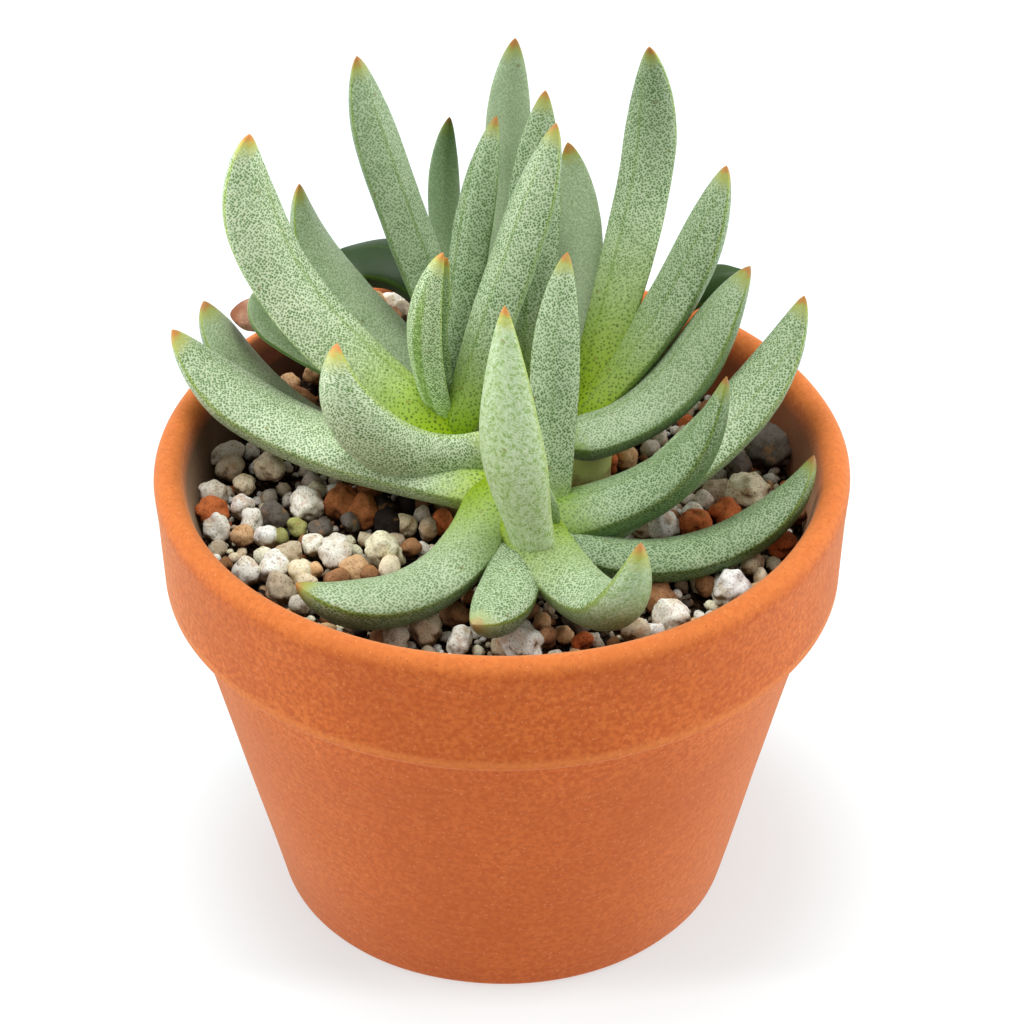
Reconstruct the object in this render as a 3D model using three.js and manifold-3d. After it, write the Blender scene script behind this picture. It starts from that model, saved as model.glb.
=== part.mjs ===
// A potted succulent: a terracotta pot filled with gritty soil, and a clump of fleshy pointed leaves.
// Millimetres, +Z up. The origin is the centre of the pot's flat base. The front of the pot is towards -Y.
import * as THREE from "three";
import { mergeVertices } from "three/addons/utils/BufferGeometryUtils.js";
import Module from "manifold-3d";

const wasm = await Module();
wasm.setup();

// ---- Driving dimensions ----
const POT_HEIGHT = 75;
const RIM_RADIUS = 52;
const COLLAR_FOOT_RADIUS = 50.9;
const COLLAR_FOOT_Z = 56;
const BODY_TOP_RADIUS = 48.3;
const BASE_RADIUS = 35;
const LIP_ROUND = 2.2;
const WALL_TOP_RADIUS = 46;
const WALL_SHOULDER_Z = 66;
const FLOOR_Z = 6;
const FLOOR_RADIUS = 31;
const POT_SEGMENTS = 48;

const GAP = 0.3;
const SOIL_Z = 64.5;
const SOIL_SEGMENTS = 36;
const MOUND = { x: -20, y: 36, radius: 18, height: 9.5 };
const STONE_SPACING = 7;
const STONE_SMALL = 2.5;
const STONE_LARGE = 3.5;
const STONE_FLATNESS = 0.8;
const STONE_SEED = 20417;

const LEAF_SIDES = 10;
const LEAF_RINGS = 10;
const FACE_DEPTH = 0.34;
const KEEL_DEPTH = 0.66;
const KEEL_SHARPNESS = 1.15;
const TIP_ROUNDNESS = 0.66;
const TIP_SMALLEST = 0.035;
const RING_BUNCHING = 1.4;

const STEM_SIDES = 14;
const STEM_FOOT_Z = 57;

const WELD = 1e-3;
const AXIS_Z = new THREE.Vector3(0, 0, 1);

// ---- Leaves: a curve through four points, then width, thickness and shape ----
// outer: the way the keeled side faces, in degrees about +Z; roll: tilt of the blade from level, in degrees;
// base: width at the root against the full width; taper: length of the pointed end, in widths.
const FRONT_LEAVES = [
  { name: "leaf_front_upright", outer: 238, width: 11, thick: 6, base: 0.66, taper: 2,
    points: [[4.7, -23, 76], [2.4, -21.5, 86], [1.2, -21, 97], [0.5, -19.5, 114]] },
  { name: "leaf_front_hooked", outer: 296, width: 9.6, thick: 7, base: 1, taper: 1.2,
    points: [[4, -18.5, 75.5], [8.5, -28, 74], [15, -36, 75], [19.5, -38, 86.5]] },
  { name: "leaf_front_inner", outer: 84, width: 7.3, thick: 5.5, base: 0.8, taper: 2.4,
    points: [[7, -13, 75], [7.5, -8, 86], [8, -3.5, 98], [9.5, 2.5, 109]] },
  { name: "leaf_front_to_right", outer: 8, width: 10.2, thick: 7.5, base: 1.1, taper: 2,
    points: [[8, -14.5, 74], [19, -12.5, 76.5], [27, -10.5, 82.5], [32.5, -9, 95]] },
  { name: "leaf_front_short", outer: -110, width: 9, thick: 7.5, base: 0.9, taper: 1.5,
    points: [[2.5, -23.5, 73], [1, -31, 73], [-1, -37.5, 74], [-4, -43, 76]] },
  { name: "leaf_front_low_left", outer: 230, width: 9.2, thick: 7.2, base: 0.95, taper: 1.3,
    points: [[-1, -11.5, 76], [-7, -25.5, 72.8], [-17.5, -32, 72.3], [-29.5, -31, 74.2]] },
  { name: "leaf_right_lowest", outer: 5, width: 8.2, thick: 6, base: 0.95, taper: 2,
    points: [[9, -19, 73], [24, -20.5, 70.5], [37.5, -13, 71.5], [46, -6, 79]] },
  { name: "leaf_right_low", outer: 40, width: 10, thick: 6.5, base: 0.8, taper: 2.2,
    points: [[14.5, -13.5, 72], [27, -3, 75.5], [38, 6.5, 82.5], [45, 12.5, 95]] },
  { name: "young_leaf_front", outer: 90, width: 2.6, thick: 2, base: 0.8, taper: 2,
    points: [[7.5, -18.5, 74], [7.5, -19, 77], [7, -19.5, 80], [7, -20, 83]] },
];
const LEFT_LEAVES = [
  { name: "leaf_centre_long", outer: 47, width: 7.9, thick: 6, base: 0.8, taper: 1.9,
    points: [[-6.5, 5, 77], [-2, 9.5, 92], [3, 15, 105], [8, 20.5, 120]] },
  { name: "leaf_left_broad", outer: 125, roll: -22, width: 9.8, thick: 7, base: 0.78, taper: 1.5,
    points: [[-9.5, 5.5, 76], [-22.4, 12, 83.8], [-34.3, 17.3, 98], [-37, 19, 119]] },
  { name: "young_leaf_outer", outer: 235, width: 6.2, thick: 3.2, base: 0.78, taper: 2.6,
    points: [[-9, 7.5, 77], [-11.3, 7, 86], [-11.2, 5.5, 97], [-8.5, 4, 108]] },
  { name: "young_leaf_inner", outer: 60, width: 5, thick: 2.5, base: 0.78, taper: 1.9,
    points: [[-8.2, 9, 77], [-10.2, 9.2, 86], [-10.2, 7.6, 96.5], [-8, 5, 106.5]] },
  { name: "leaf_left_hooked", outer: 238, roll: 60, width: 11, thick: 6.5, base: 0.8, taper: 1.5,
    points: [[-2, -1, 77], [-13.6, -2.5, 76.4], [-21.6, -3, 84.3], [-24, -1, 95.5]] },
  { name: "leaf_left_long", outer: 156, width: 11.4, thick: 7, base: 0.85, taper: 1.5,
    points: [[-3, -6.5, 74], [-20.5, 1, 74.3], [-36.5, 8.5, 77.2], [-49.5, 14, 88]] },
  { name: "leaf_left_low", outer: 147, width: 7.2, thick: 5, base: 0.8, taper: 1.2,
    points: [[-11, 2.5, 72.5], [-24.5, 11.5, 69.5], [-37, 18.5, 75.2], [-45.5, 25, 86]] },
  { name: "leaf_left_back_low", outer: 161, roll: -20, width: 8.4, thick: 5, base: 0.8, taper: 1.1,
    points: [[-12, 12, 76], [-24, 14, 82.9], [-32.6, 16.8, 87], [-37.6, 19.5, 91]] },
];
const BACK_LEAVES = [
  { name: "leaf_back_middle", outer: 70, width: 6, thick: 5, base: 0.85, taper: 3,
    points: [[-8, 11, 76], [-6.2, 14.5, 91], [-4, 20, 105], [-0.8, 26, 118]] },
  { name: "leaf_back_left_tall", outer: 134, width: 8, thick: 5.5, base: 0.78, taper: 1.9,
    points: [[-5.5, 15, 76], [-11, 21, 92.5], [-17, 27, 108], [-21.5, 31.5, 125]] },
  { name: "leaf_back_centre", outer: 84, width: 8.2, thick: 5.5, base: 0.8, taper: 2.5,
    points: [[2.8, 17.5, 74.5], [4, 22, 90], [5, 28, 104], [6.5, 33.5, 118]] },
  { name: "leaf_left_second", outer: 151, width: 10, thick: 6, base: 0.85, taper: 1.8,
    points: [[-9, 16, 75.5], [-18, 20.5, 83.5], [-26.5, 25.5, 91.5], [-30.5, 28, 105]] },
  { name: "leaf_back_tallest", outer: 90, width: 6.8, thick: 5, base: 0.85, taper: 2.3,
    points: [[1, 22.5, 74], [0.7, 31.5, 91], [0.8, 39.5, 106], [2, 44, 121]] },
  { name: "leaf_back_small", outer: 95, width: 5, thick: 4, base: 0.9, taper: 3,
    points: [[-5.5, 23.5, 74], [-8, 33, 86], [-9, 39.5, 97], [-8, 41, 109]] },
  { name: "leaf_back_left_dark", outer: 160, width: 11, thick: 6.5, base: 0.9, taper: 1,
    points: [[-4, 25, 75.5], [-12.3, 32, 87], [-19.7, 35.5, 87.2], [-26, 35.5, 87.2]] },
];
const RIGHT_LEAVES = [
  { name: "leaf_right_tall", outer: 69, width: 8.4, thick: 6, base: 0.78, taper: 2,
    points: [[13, 12, 77], [18, 24.5, 90], [22, 35.5, 104], [22, 36, 124]] },
  { name: "leaf_right_broad", outer: 28, width: 10.6, thick: 7, base: 0.85, taper: 1.8,
    points: [[11.5, 3, 76], [23.5, 9, 78.5], [30.5, 13, 87], [37, 16, 98]] },
  { name: "leaf_right_middle", outer: 36, width: 8.6, thick: 6, base: 0.8, taper: 2,
    points: [[13, 10.5, 77], [22.5, 17.5, 85.5], [29, 22, 97], [33.5, 25, 110]] },
  { name: "leaf_back_right_short", outer: 95, width: 7.4, thick: 5, base: 0.85, taper: 2.1,
    points: [[13, 16.5, 74], [12, 25, 85], [11.5, 33.5, 95], [10, 38.5, 106]] },
  { name: "leaf_back_right_dark", outer: 38, width: 6, thick: 4.6, base: 0.8, taper: 1.7,
    points: [[16, 15.5, 75], [25, 29, 82], [31.5, 30, 86], [37, 29, 89]] },
];
const OLD_LEAVES = [
  { name: "old_dry_leaf", outer: 174, width: 7.5, thick: 4, base: 0.8, taper: 0.6,
    points: [[-12.5, 19.5, 73.5], [-23, 21.5, 79.3], [-33, 23, 84], [-41.5, 24.3, 84.2]] },
];

// ---- Stems: foot and head of the axis, and radius ----
const STEMS = [
  { name: "stem_left", foot: [-6, 2], head: [-7, 3, 75.5], radius: 5 },
  { name: "stem_front", foot: [4.5, -15], head: [5, -17, 75], radius: 5.2 },
  { name: "stem_right", foot: [12, 8], head: [12.5, 9, 76], radius: 4.8 },
  { name: "stem_back", foot: [-2, 19], head: [-2, 20, 76], radius: 5.6 },
];

// ---- Materials ----
function material(colour, roughness) {
  return new THREE.MeshStandardMaterial({ color: colour, roughness, metalness: 0 });
}
const TERRACOTTA = material(0xc9683c, 0.85);
const GRITTY_SOIL = material(0x8d7c69, 0.95);
const STEM_GREEN = material(0xb9c77f, 0.6);
const LEAF_GREEN = material(0x8fa882, 0.5);
const YOUNG_GREEN = material(0x9cb385, 0.5);
const DARK_GREEN = material(0x5d7a55, 0.5);
const DRY_TAN = material(0xb98a6d, 0.8);

// ---- Solids ----
// The triangles whose three corners differ.
function realTriangles(corners) {
  const kept = [];
  for (let i = 0; i < corners.length; i += 3) {
    const [a, b, c] = [corners[i], corners[i + 1], corners[i + 2]];
    if (a !== b && b !== c && c !== a) kept.push(a, b, c);
  }
  return kept;
}

// A closed geometry as a solid: seams welded, and triangles without area dropped.
function solidFrom(geometry) {
  const bare = geometry.clone();
  bare.deleteAttribute("normal");
  bare.deleteAttribute("uv");
  const welded = mergeVertices(bare, WELD);
  return new wasm.Manifold(
    new wasm.Mesh({
      numProp: 3,
      vertProperties: new Float32Array(welded.attributes.position.array),
      triVerts: new Uint32Array(realTriangles(welded.index.array)),
    }),
  );
}

// A solid's surface as a geometry, with vertices closer than the weld distance made one.
function geometryFrom(solid) {
  const surface = solid.getMesh();
  const raw = new THREE.BufferGeometry();
  raw.setAttribute("position", new THREE.BufferAttribute(new Float32Array(surface.vertProperties), 3));
  raw.setIndex(new THREE.BufferAttribute(new Uint32Array(surface.triVerts), 1));
  const welded = mergeVertices(raw, WELD);
  welded.setIndex(realTriangles(welded.index.array));
  welded.computeVertexNormals();
  return welded;
}

// The largest connected body of a solid, so that a crumb left by a cut goes away.
function largestBody(solid) {
  const { vertProperties, triVerts } = solid.getMesh();
  const parent = Array.from({ length: vertProperties.length / 3 }, (_, i) => i);
  const rootOf = (i) => {
    while (parent[i] !== i) {
      parent[i] = parent[parent[i]];
      i = parent[i];
    }
    return i;
  };
  for (let i = 0; i < triVerts.length; i += 3) {
    parent[rootOf(triVerts[i])] = rootOf(triVerts[i + 1]);
    parent[rootOf(triVerts[i + 1])] = rootOf(triVerts[i + 2]);
  }
  const volumes = new Map();
  const corner = (k) => new THREE.Vector3().fromArray(vertProperties, 3 * triVerts[k]);
  for (let i = 0; i < triVerts.length; i += 3) {
    const key = rootOf(triVerts[i]);
    const volume = corner(i).dot(corner(i + 1).cross(corner(i + 2)));
    volumes.set(key, (volumes.get(key) ?? 0) + volume);
  }
  const largest = [...volumes].sort((a, b) => b[1] - a[1])[0][0];
  const kept = [];
  for (let i = 0; i < triVerts.length; i += 3) {
    if (rootOf(triVerts[i]) === largest) kept.push(triVerts[i], triVerts[i + 1], triVerts[i + 2]);
  }
  return new wasm.Manifold(
    new wasm.Mesh({ numProp: 3, vertProperties: vertProperties.slice(), triVerts: new Uint32Array(kept) }),
  );
}

// A turned shape about +Z, from [radius, height] pairs that run up the outside.
function turned(profile, segments) {
  const points = profile.map(([radius, height]) => new THREE.Vector2(radius, height));
  return new THREE.LatheGeometry(points, segments).rotateX(Math.PI / 2);
}

// Repeatable random numbers from 0 to 1.
function seededRandom(seed) {
  let state = seed;
  return () => {
    state = (state + 0x6d2b79f5) | 0;
    let mixed = Math.imul(state ^ (state >>> 15), 1 | state);
    mixed = (mixed + Math.imul(mixed ^ (mixed >>> 7), 61 | mixed)) ^ mixed;
    return ((mixed ^ (mixed >>> 14)) >>> 0) / 4294967296;
  };
}

// ---- Pot ----
function innerRadiusAt(height) {
  if (height >= COLLAR_FOOT_Z) return WALL_TOP_RADIUS;
  const share = (height - FLOOR_Z) / (COLLAR_FOOT_Z - FLOOR_Z);
  return FLOOR_RADIUS + share * (WALL_TOP_RADIUS - FLOOR_RADIUS);
}

function potSolid() {
  const lipZ = POT_HEIGHT - LIP_ROUND;
  const lipOuter = RIM_RADIUS - LIP_ROUND;
  const lipSlope = LIP_ROUND * Math.SQRT1_2;
  const lipInner = RIM_RADIUS - 5;
  const footChamfer = 1;
  return solidFrom(
    turned(
      [
        [0, 0],
        [BASE_RADIUS - footChamfer, 0],
        [BASE_RADIUS, footChamfer],
        [BODY_TOP_RADIUS, COLLAR_FOOT_Z],
        [COLLAR_FOOT_RADIUS - 0.6, COLLAR_FOOT_Z],
        [COLLAR_FOOT_RADIUS, COLLAR_FOOT_Z + 0.8],
        [RIM_RADIUS, lipZ],
        [lipOuter + lipSlope, lipZ + lipSlope],
        [lipOuter, POT_HEIGHT],
        [lipInner + 1.2, POT_HEIGHT],
        [lipInner, POT_HEIGHT - 1.3],
        [WALL_TOP_RADIUS, WALL_SHOULDER_Z],
        [WALL_TOP_RADIUS, COLLAR_FOOT_Z],
        [FLOOR_RADIUS, FLOOR_Z],
        [0, FLOOR_Z],
      ],
      POT_SEGMENTS,
    ),
  );
}

// ---- Leaves and stems ----
// The smooth curve that passes each of the four points at thirds of its way.
function leafCurve(points) {
  const [p0, p1, p2, p3] = points.map((p) => new THREE.Vector3(...p));
  const blend = (w0, w1, w2, w3) =>
    new THREE.Vector3()
      .addScaledVector(p0, w0 / 6)
      .addScaledVector(p1, w1 / 6)
      .addScaledVector(p2, w2 / 6)
      .addScaledVector(p3, w3 / 6);
  return new THREE.CubicBezierCurve3(p0, blend(-5, 18, -9, 2), blend(2, -9, 18, -5), p3);
}

// Width at a place along the leaf against its full width: narrower at the root, pointed at the end.
function widthShare(along, base, taperShare) {
  const rise = THREE.MathUtils.smoothstep(along, 0, 0.5);
  const left = Math.min(1, (1 - along) / taperShare);
  const end = Math.sin((Math.PI / 2) * left) ** TIP_ROUNDNESS;
  return Math.max(TIP_SMALLEST, (base + (1 - base) * rise) * end);
}

// A fleshy leaf, nearly flat on its inner face and keeled on its outer face. It can be grown all round.
function leafSolid(leaf, grow) {
  const curve = leafCurve(leaf.points);
  const taperShare = Math.min(0.7, (leaf.taper * leaf.width) / curve.getLength());
  const outer = THREE.MathUtils.degToRad(leaf.outer);
  const roll = THREE.MathUtils.degToRad(leaf.roll ?? 0);
  const flat = Math.cos(roll);
  const level = new THREE.Vector3(-Math.sin(outer) * flat, Math.cos(outer) * flat, Math.sin(roll));
  const geometry = new THREE.CylinderGeometry(1, 1, 1, LEAF_SIDES, LEAF_RINGS);
  const position = geometry.getAttribute("position");
  for (let i = 0; i < position.count; i++) {
    const along = 1 - (0.5 - position.getY(i)) ** RING_BUNCHING;
    const centre = curve.getPoint(along);
    const forward = curve.getTangent(along);
    const across = level.clone().addScaledVector(forward, -level.dot(forward)).normalize();
    const inward = new THREE.Vector3().crossVectors(forward, across);
    const share = widthShare(along, leaf.base, taperShare);
    const side = position.getX(i) * ((leaf.width * share) / 2 + grow);
    const lift = -position.getZ(i);
    const thick = leaf.thick * share + 2 * grow;
    const depth = lift >= 0 ? FACE_DEPTH * thick * lift : -KEEL_DEPTH * thick * (-lift) ** KEEL_SHARPNESS;
    centre.addScaledVector(across, side).addScaledVector(inward, depth);
    centre.addScaledVector(forward, grow * (2 * along - 1));
    position.setXYZ(i, centre.x, centre.y, centre.z);
  }
  return solidFrom(geometry);
}

// A short stem that leans a little, with a rounded head. It can be grown all round.
function stemSolid(stem, grow) {
  const foot = new THREE.Vector3(stem.foot[0], stem.foot[1], STEM_FOOT_Z);
  const head = new THREE.Vector3(...stem.head);
  const axis = head.clone().sub(foot);
  const length = axis.length();
  const radius = stem.radius + grow;
  const profile = [
    [0, -grow],
    [radius * 0.95, -grow],
    [radius, length * 0.55],
    [radius * 0.92, length - 1.6 + grow],
    [radius * 0.6, length - 0.3 + grow],
    [0, length + grow],
  ];
  const turn = new THREE.Quaternion().setFromUnitVectors(AXIS_Z, axis.normalize());
  const geometry = turned(profile, STEM_SIDES).applyQuaternion(turn).translate(foot.x, foot.y, foot.z);
  return solidFrom(geometry);
}

// ---- Soil with its grit ----
function moundHeight(x, y) {
  const away = Math.hypot(x - MOUND.x, y - MOUND.y) / MOUND.radius;
  return away < 1 ? MOUND.height * Math.sqrt(1 - away * away) : 0;
}

function stoneSolid(x, y, z, size, random) {
  const geometry = new THREE.IcosahedronGeometry(1, 0);
  const wide = size * (0.85 + 0.3 * random());
  const deep = size * (0.85 + 0.3 * random());
  const tall = size * STONE_FLATNESS * (0.9 + 0.25 * random());
  geometry.rotateX(random() * Math.PI);
  geometry.scale(wide, deep, tall);
  geometry.rotateZ(random() * Math.PI * 2);
  geometry.translate(x, y, z);
  return solidFrom(geometry);
}

// Stones lie in staggered rows, each shifted and sized by the seeded draw, sunk to about their middles.
function stonePlaces(random) {
  const places = [];
  const rows = Math.ceil(WALL_TOP_RADIUS / (STONE_SPACING * 0.87));
  for (let row = -rows; row <= rows; row++) {
    for (let column = -rows; column <= rows; column++) {
      const shift = row % 2 === 0 ? 0 : STONE_SPACING / 2;
      const x = column * STONE_SPACING + shift + (random() - 0.5) * 1.6;
      const y = row * STONE_SPACING * 0.87 + (random() - 0.5) * 1.6;
      const size = STONE_SMALL + random() * (STONE_LARGE - STONE_SMALL);
      if (Math.hypot(x, y) + size * 1.15 < WALL_TOP_RADIUS - GAP) places.push({ x, y, size });
    }
  }
  return places;
}

function soilSolid(stems, leaves) {
  const random = seededRandom(STONE_SEED);
  const lowest = FLOOR_Z + GAP;
  let solid = solidFrom(
    turned(
      [
        [0, lowest],
        [innerRadiusAt(lowest) - GAP * 2, lowest],
        [WALL_TOP_RADIUS - GAP * 1.5, COLLAR_FOOT_Z],
        [WALL_TOP_RADIUS - GAP * 1.5, SOIL_Z],
        [0, SOIL_Z],
      ],
      SOIL_SEGMENTS,
    ),
  );
  const dome = new THREE.SphereGeometry(1, 14, 8).scale(MOUND.radius, MOUND.radius, MOUND.height);
  const mound = solidFrom(dome.translate(MOUND.x, MOUND.y, SOIL_Z));
  const inside = solidFrom(
    turned([[0, FLOOR_Z + 1], [WALL_TOP_RADIUS - GAP * 1.5, FLOOR_Z + 1],
      [WALL_TOP_RADIUS - GAP * 1.5, POT_HEIGHT + 5], [0, POT_HEIGHT + 5]], SOIL_SEGMENTS),
  );
  solid = solid.add(mound.intersect(inside));
  for (const { x, y, size } of stonePlaces(random)) {
    const z = SOIL_Z + moundHeight(x, y) + size * 0.1;
    const stone = stoneSolid(x, y, z, size, random);
    const touches = leaves.some((leaf) => stone.intersect(leaf).getMesh().triVerts.length > 0);
    if (!touches) solid = solid.add(stone);
  }
  for (const stem of stems) solid = solid.subtract(stem);
  for (const leaf of leaves) solid = solid.subtract(leaf);
  return largestBody(solid);
}

// ---- The whole object ----
const plant = new THREE.Group();
plant.name = "potted_succulent";

function place(name, solid, look) {
  const mesh = new THREE.Mesh(geometryFrom(solid), look);
  mesh.name = name;
  plant.add(mesh);
}

const potBody = potSolid();
place("pot", potBody, TERRACOTTA);

const grownStems = STEMS.map((stem) => stemSolid(stem, GAP));
STEMS.forEach((stem) => place(stem.name, stemSolid(stem, 0), STEM_GREEN));

// Leaves are set one after the other, and each is cut back where it would run into an earlier one.
const taken = [...grownStems];
function setLeaves(leaves, look) {
  for (const leaf of leaves) {
    let solid = leafSolid(leaf, 0);
    for (const other of taken) solid = solid.subtract(other);
    solid = largestBody(solid);
    place(leaf.name, solid, look(leaf));
    taken.push(leafSolid(leaf, GAP));
  }
}
const freshLook = (leaf) => {
  if (leaf.name.startsWith("young")) return YOUNG_GREEN;
  return leaf.name.endsWith("dark") ? DARK_GREEN : LEAF_GREEN;
};
setLeaves(FRONT_LEAVES, freshLook);
setLeaves(LEFT_LEAVES, freshLook);
setLeaves(BACK_LEAVES, freshLook);
setLeaves(RIGHT_LEAVES, freshLook);
setLeaves(OLD_LEAVES, () => DRY_TAN);

const grownLeaves = taken.slice(grownStems.length);
place("soil_and_grit", soilSolid(grownStems, grownLeaves), GRITTY_SOIL);

export default plant;
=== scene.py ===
# %% [markdown]
# # A potted succulent
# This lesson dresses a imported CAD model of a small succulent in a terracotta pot.
# The solids say where every piece is. Here each one gets its fine shape and its finish:
# fired clay, a bed of mixed grit, four short stems and thirty fleshy leaves.
# Everything is in metres in Blender, and sizes are written in millimetres in this file.

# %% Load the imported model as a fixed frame
import math

import bpy
import numpy as np
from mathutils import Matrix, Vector


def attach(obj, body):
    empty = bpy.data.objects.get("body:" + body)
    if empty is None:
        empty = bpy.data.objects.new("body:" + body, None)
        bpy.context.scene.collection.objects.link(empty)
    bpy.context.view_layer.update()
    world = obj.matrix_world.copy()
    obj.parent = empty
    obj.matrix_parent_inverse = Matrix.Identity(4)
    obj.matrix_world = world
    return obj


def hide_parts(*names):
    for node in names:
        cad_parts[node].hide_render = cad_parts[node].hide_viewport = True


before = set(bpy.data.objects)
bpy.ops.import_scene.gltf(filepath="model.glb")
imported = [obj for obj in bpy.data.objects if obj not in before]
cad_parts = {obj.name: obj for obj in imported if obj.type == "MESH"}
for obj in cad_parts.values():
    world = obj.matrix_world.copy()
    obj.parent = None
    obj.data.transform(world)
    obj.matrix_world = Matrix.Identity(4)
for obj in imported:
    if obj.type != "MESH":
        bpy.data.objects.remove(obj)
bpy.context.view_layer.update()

MM = 0.001
BODY = "root"
print("CAD pieces:", len(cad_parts))

# %% [markdown]
# ## A short hand for node trees
# A node tree is a list of small steps joined by links. Writing each one out in full takes
# many lines, so this helper adds a node, fills its sockets and returns what it puts out.
# The same helper serves shader trees and geometry trees, because both use the same kind
# of socket. It also lays the nodes out in rows, so that the tree can be read in the editor.

# %% A helper that adds nodes
ROW_LENGTH = 12
NODE_STEP = (190, -230)


class Steps:
    """Adds nodes to one tree and joins their sockets."""

    def __init__(self, tree):
        self.tree = tree

    def add(self, kind, values=None, **settings):
        node = self.tree.nodes.new(kind)
        row, column = divmod(len(self.tree.nodes), ROW_LENGTH)
        node.location = (column * NODE_STEP[0], row * NODE_STEP[1])
        for name, value in settings.items():
            setattr(node, name, value)
        for name, value in (values or {}).items():
            self.feed(node.inputs[name], value)
        return node

    def feed(self, socket, value):
        if isinstance(value, bpy.types.NodeSocket):
            self.tree.links.new(value, socket)
        elif value is not None:
            socket.default_value = value

    def math(self, operation, *values, clamp=False):
        node = self.add("ShaderNodeMath", dict(enumerate(values)), operation=operation)
        node.use_clamp = clamp
        return node.outputs[0]

    def plus(self, first, second, clamp=False):
        return self.math("ADD", first, second, clamp=clamp)

    def minus(self, first, second):
        return self.math("SUBTRACT", first, second)

    def times(self, first, second, clamp=False):
        return self.math("MULTIPLY", first, second, clamp=clamp)

    def over(self, first, second, clamp=False):
        return self.math("DIVIDE", first, second, clamp=clamp)

    def vector(self, operation, *values):
        node = self.add("ShaderNodeVectorMath", dict(enumerate(values)), operation=operation)
        single = operation in ("LENGTH", "DISTANCE", "DOT_PRODUCT")
        return node.outputs["Value" if single else "Vector"]

    def scaled(self, vector, amount):
        node = self.add("ShaderNodeVectorMath", {0: vector, "Scale": amount}, operation="SCALE")
        return node.outputs["Vector"]

    def range(self, value, low, high, to_low=0.0, to_high=1.0, smooth=False):
        kind = "SMOOTHSTEP" if smooth else "LINEAR"
        node = self.add("ShaderNodeMapRange", interpolation_type=kind)
        for index, item in enumerate((value, low, high, to_low, to_high)):
            self.feed(node.inputs[index], item)
        return node.outputs[0]

    def soft(self, value, low, high, to_low=0.0, to_high=1.0):
        """The same as range, but it starts and ends gently."""
        return self.range(value, low, high, to_low, to_high, smooth=True)

    def split(self, vector):
        return self.add("ShaderNodeSeparateXYZ", {0: vector}).outputs

    def join(self, x=0.0, y=0.0, z=0.0):
        return self.add("ShaderNodeCombineXYZ", {0: x, 1: y, 2: z}).outputs[0]

    def mix(self, factor, first, second, blend="MIX"):
        node = self.add("ShaderNodeMix", data_type="RGBA", blend_type=blend)
        for index, item in ((0, factor), (6, first), (7, second)):
            self.feed(node.inputs[index], item)
        return node.outputs[2]

    def coats(self, colour, layers):
        """A colour under a row of (mask, colour) coats, each laid over the one before."""
        for mask, coat in layers:
            colour = self.mix(mask, colour, coat)
        return colour

    def darkened(self, colour, mask, stops):
        """A colour multiplied by a ramp, which darkens it where the mask says."""
        return self.mix(1.0, colour, self.ramp(mask, stops), "MULTIPLY")

    def between(self, factor, first, second):
        node = self.add("ShaderNodeMix", data_type="VECTOR")
        for index, item in ((0, factor), (4, first), (5, second)):
            self.feed(node.inputs[index], item)
        return node.outputs[1]

    def noise(self, vector, scale, detail=2.0, roughness=0.5, colour=False):
        node = self.add("ShaderNodeTexNoise", {"Vector": vector, "Scale": scale,
                                               "Detail": detail, "Roughness": roughness})
        return node.outputs["Color" if colour else "Fac"]

    def cells(self, vector, scale, randomness=1.0, dimensions="3D"):
        values = {"Vector": vector, "Scale": scale, "Randomness": randomness}
        return self.add("ShaderNodeTexVoronoi", values, voronoi_dimensions=dimensions).outputs

    def ramp(self, factor, stops):
        node = self.add("ShaderNodeValToRGB", {0: factor})
        marks = node.color_ramp.elements
        while len(marks) < len(stops):
            marks.new(0.5)
        for mark, (place, colour) in zip(marks, stops):
            mark.position = place
        for mark, (place, colour) in zip(marks, stops):
            mark.color = colour
        return node.outputs[0]


def paint(red, green, blue):
    """A screen colour, 0 to 255, as the linear colour that Blender mixes."""
    def linear(level):
        level /= 255
        return level / 12.92 if level <= 0.04045 else ((level + 0.055) / 1.055) ** 2.4
    return (linear(red), linear(green), linear(blue), 1.0)


print("terracotta in linear light:", [round(c, 3) for c in paint(222, 110, 40)])

# %% [markdown]
# ## Trees with named inputs
# A geometry tree is a recipe, and its named inputs are the sizes that change from piece to
# piece. The recipe is written once and used for many objects, each with its own values.
# A modifier finds an input by the identifier of its socket, so the helper looks that up.
# Turning the result into a plain mesh keeps the piece simple for whoever uses it next.

# %% Helpers for geometry trees
SOCKETS = {float: "NodeSocketFloat", int: "NodeSocketInt", tuple: "NodeSocketVector"}


def geometry_tree(name, inputs):
    """A new geometry tree with named inputs: its steps, its inputs and its way out."""
    tree = bpy.data.node_groups.new(name, "GeometryNodeTree")
    face = tree.interface
    face.new_socket("Geometry", in_out="INPUT", socket_type="NodeSocketGeometry")
    for label, value in inputs.items():
        kind = "NodeSocketMaterial" if value is None else SOCKETS[type(value)]
        socket = face.new_socket(label, in_out="INPUT", socket_type=kind)
        if value is not None:
            socket.default_value = value
    face.new_socket("Geometry", in_out="OUTPUT", socket_type="NodeSocketGeometry")
    steps = Steps(tree)
    start = steps.add("NodeGroupInput").outputs
    end = steps.add("NodeGroupOutput").inputs[0]
    return tree, steps, start, end


def placed(name, data):
    """A new object, linked to the scene."""
    thing = bpy.data.objects.new(name, data)
    bpy.context.scene.collection.objects.link(thing)
    return thing


def plain_piece(name, mesh, tree, values):
    """The mesh that a geometry tree makes from another, as a plain object with no modifier."""
    maker = placed(name + "_maker", mesh)
    modifier = maker.modifiers.new("recipe", "NODES")
    modifier.node_group = tree
    names = {item.name: item.identifier for item in tree.interface.items_tree
             if item.in_out == "INPUT"}
    for label, value in values.items():
        modifier[names[label]] = value
    graph = bpy.context.evaluated_depsgraph_get()
    made = bpy.data.meshes.new_from_object(maker.evaluated_get(graph), depsgraph=graph)
    bpy.data.objects.remove(maker)
    made.name = name
    return placed(name, made)


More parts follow.
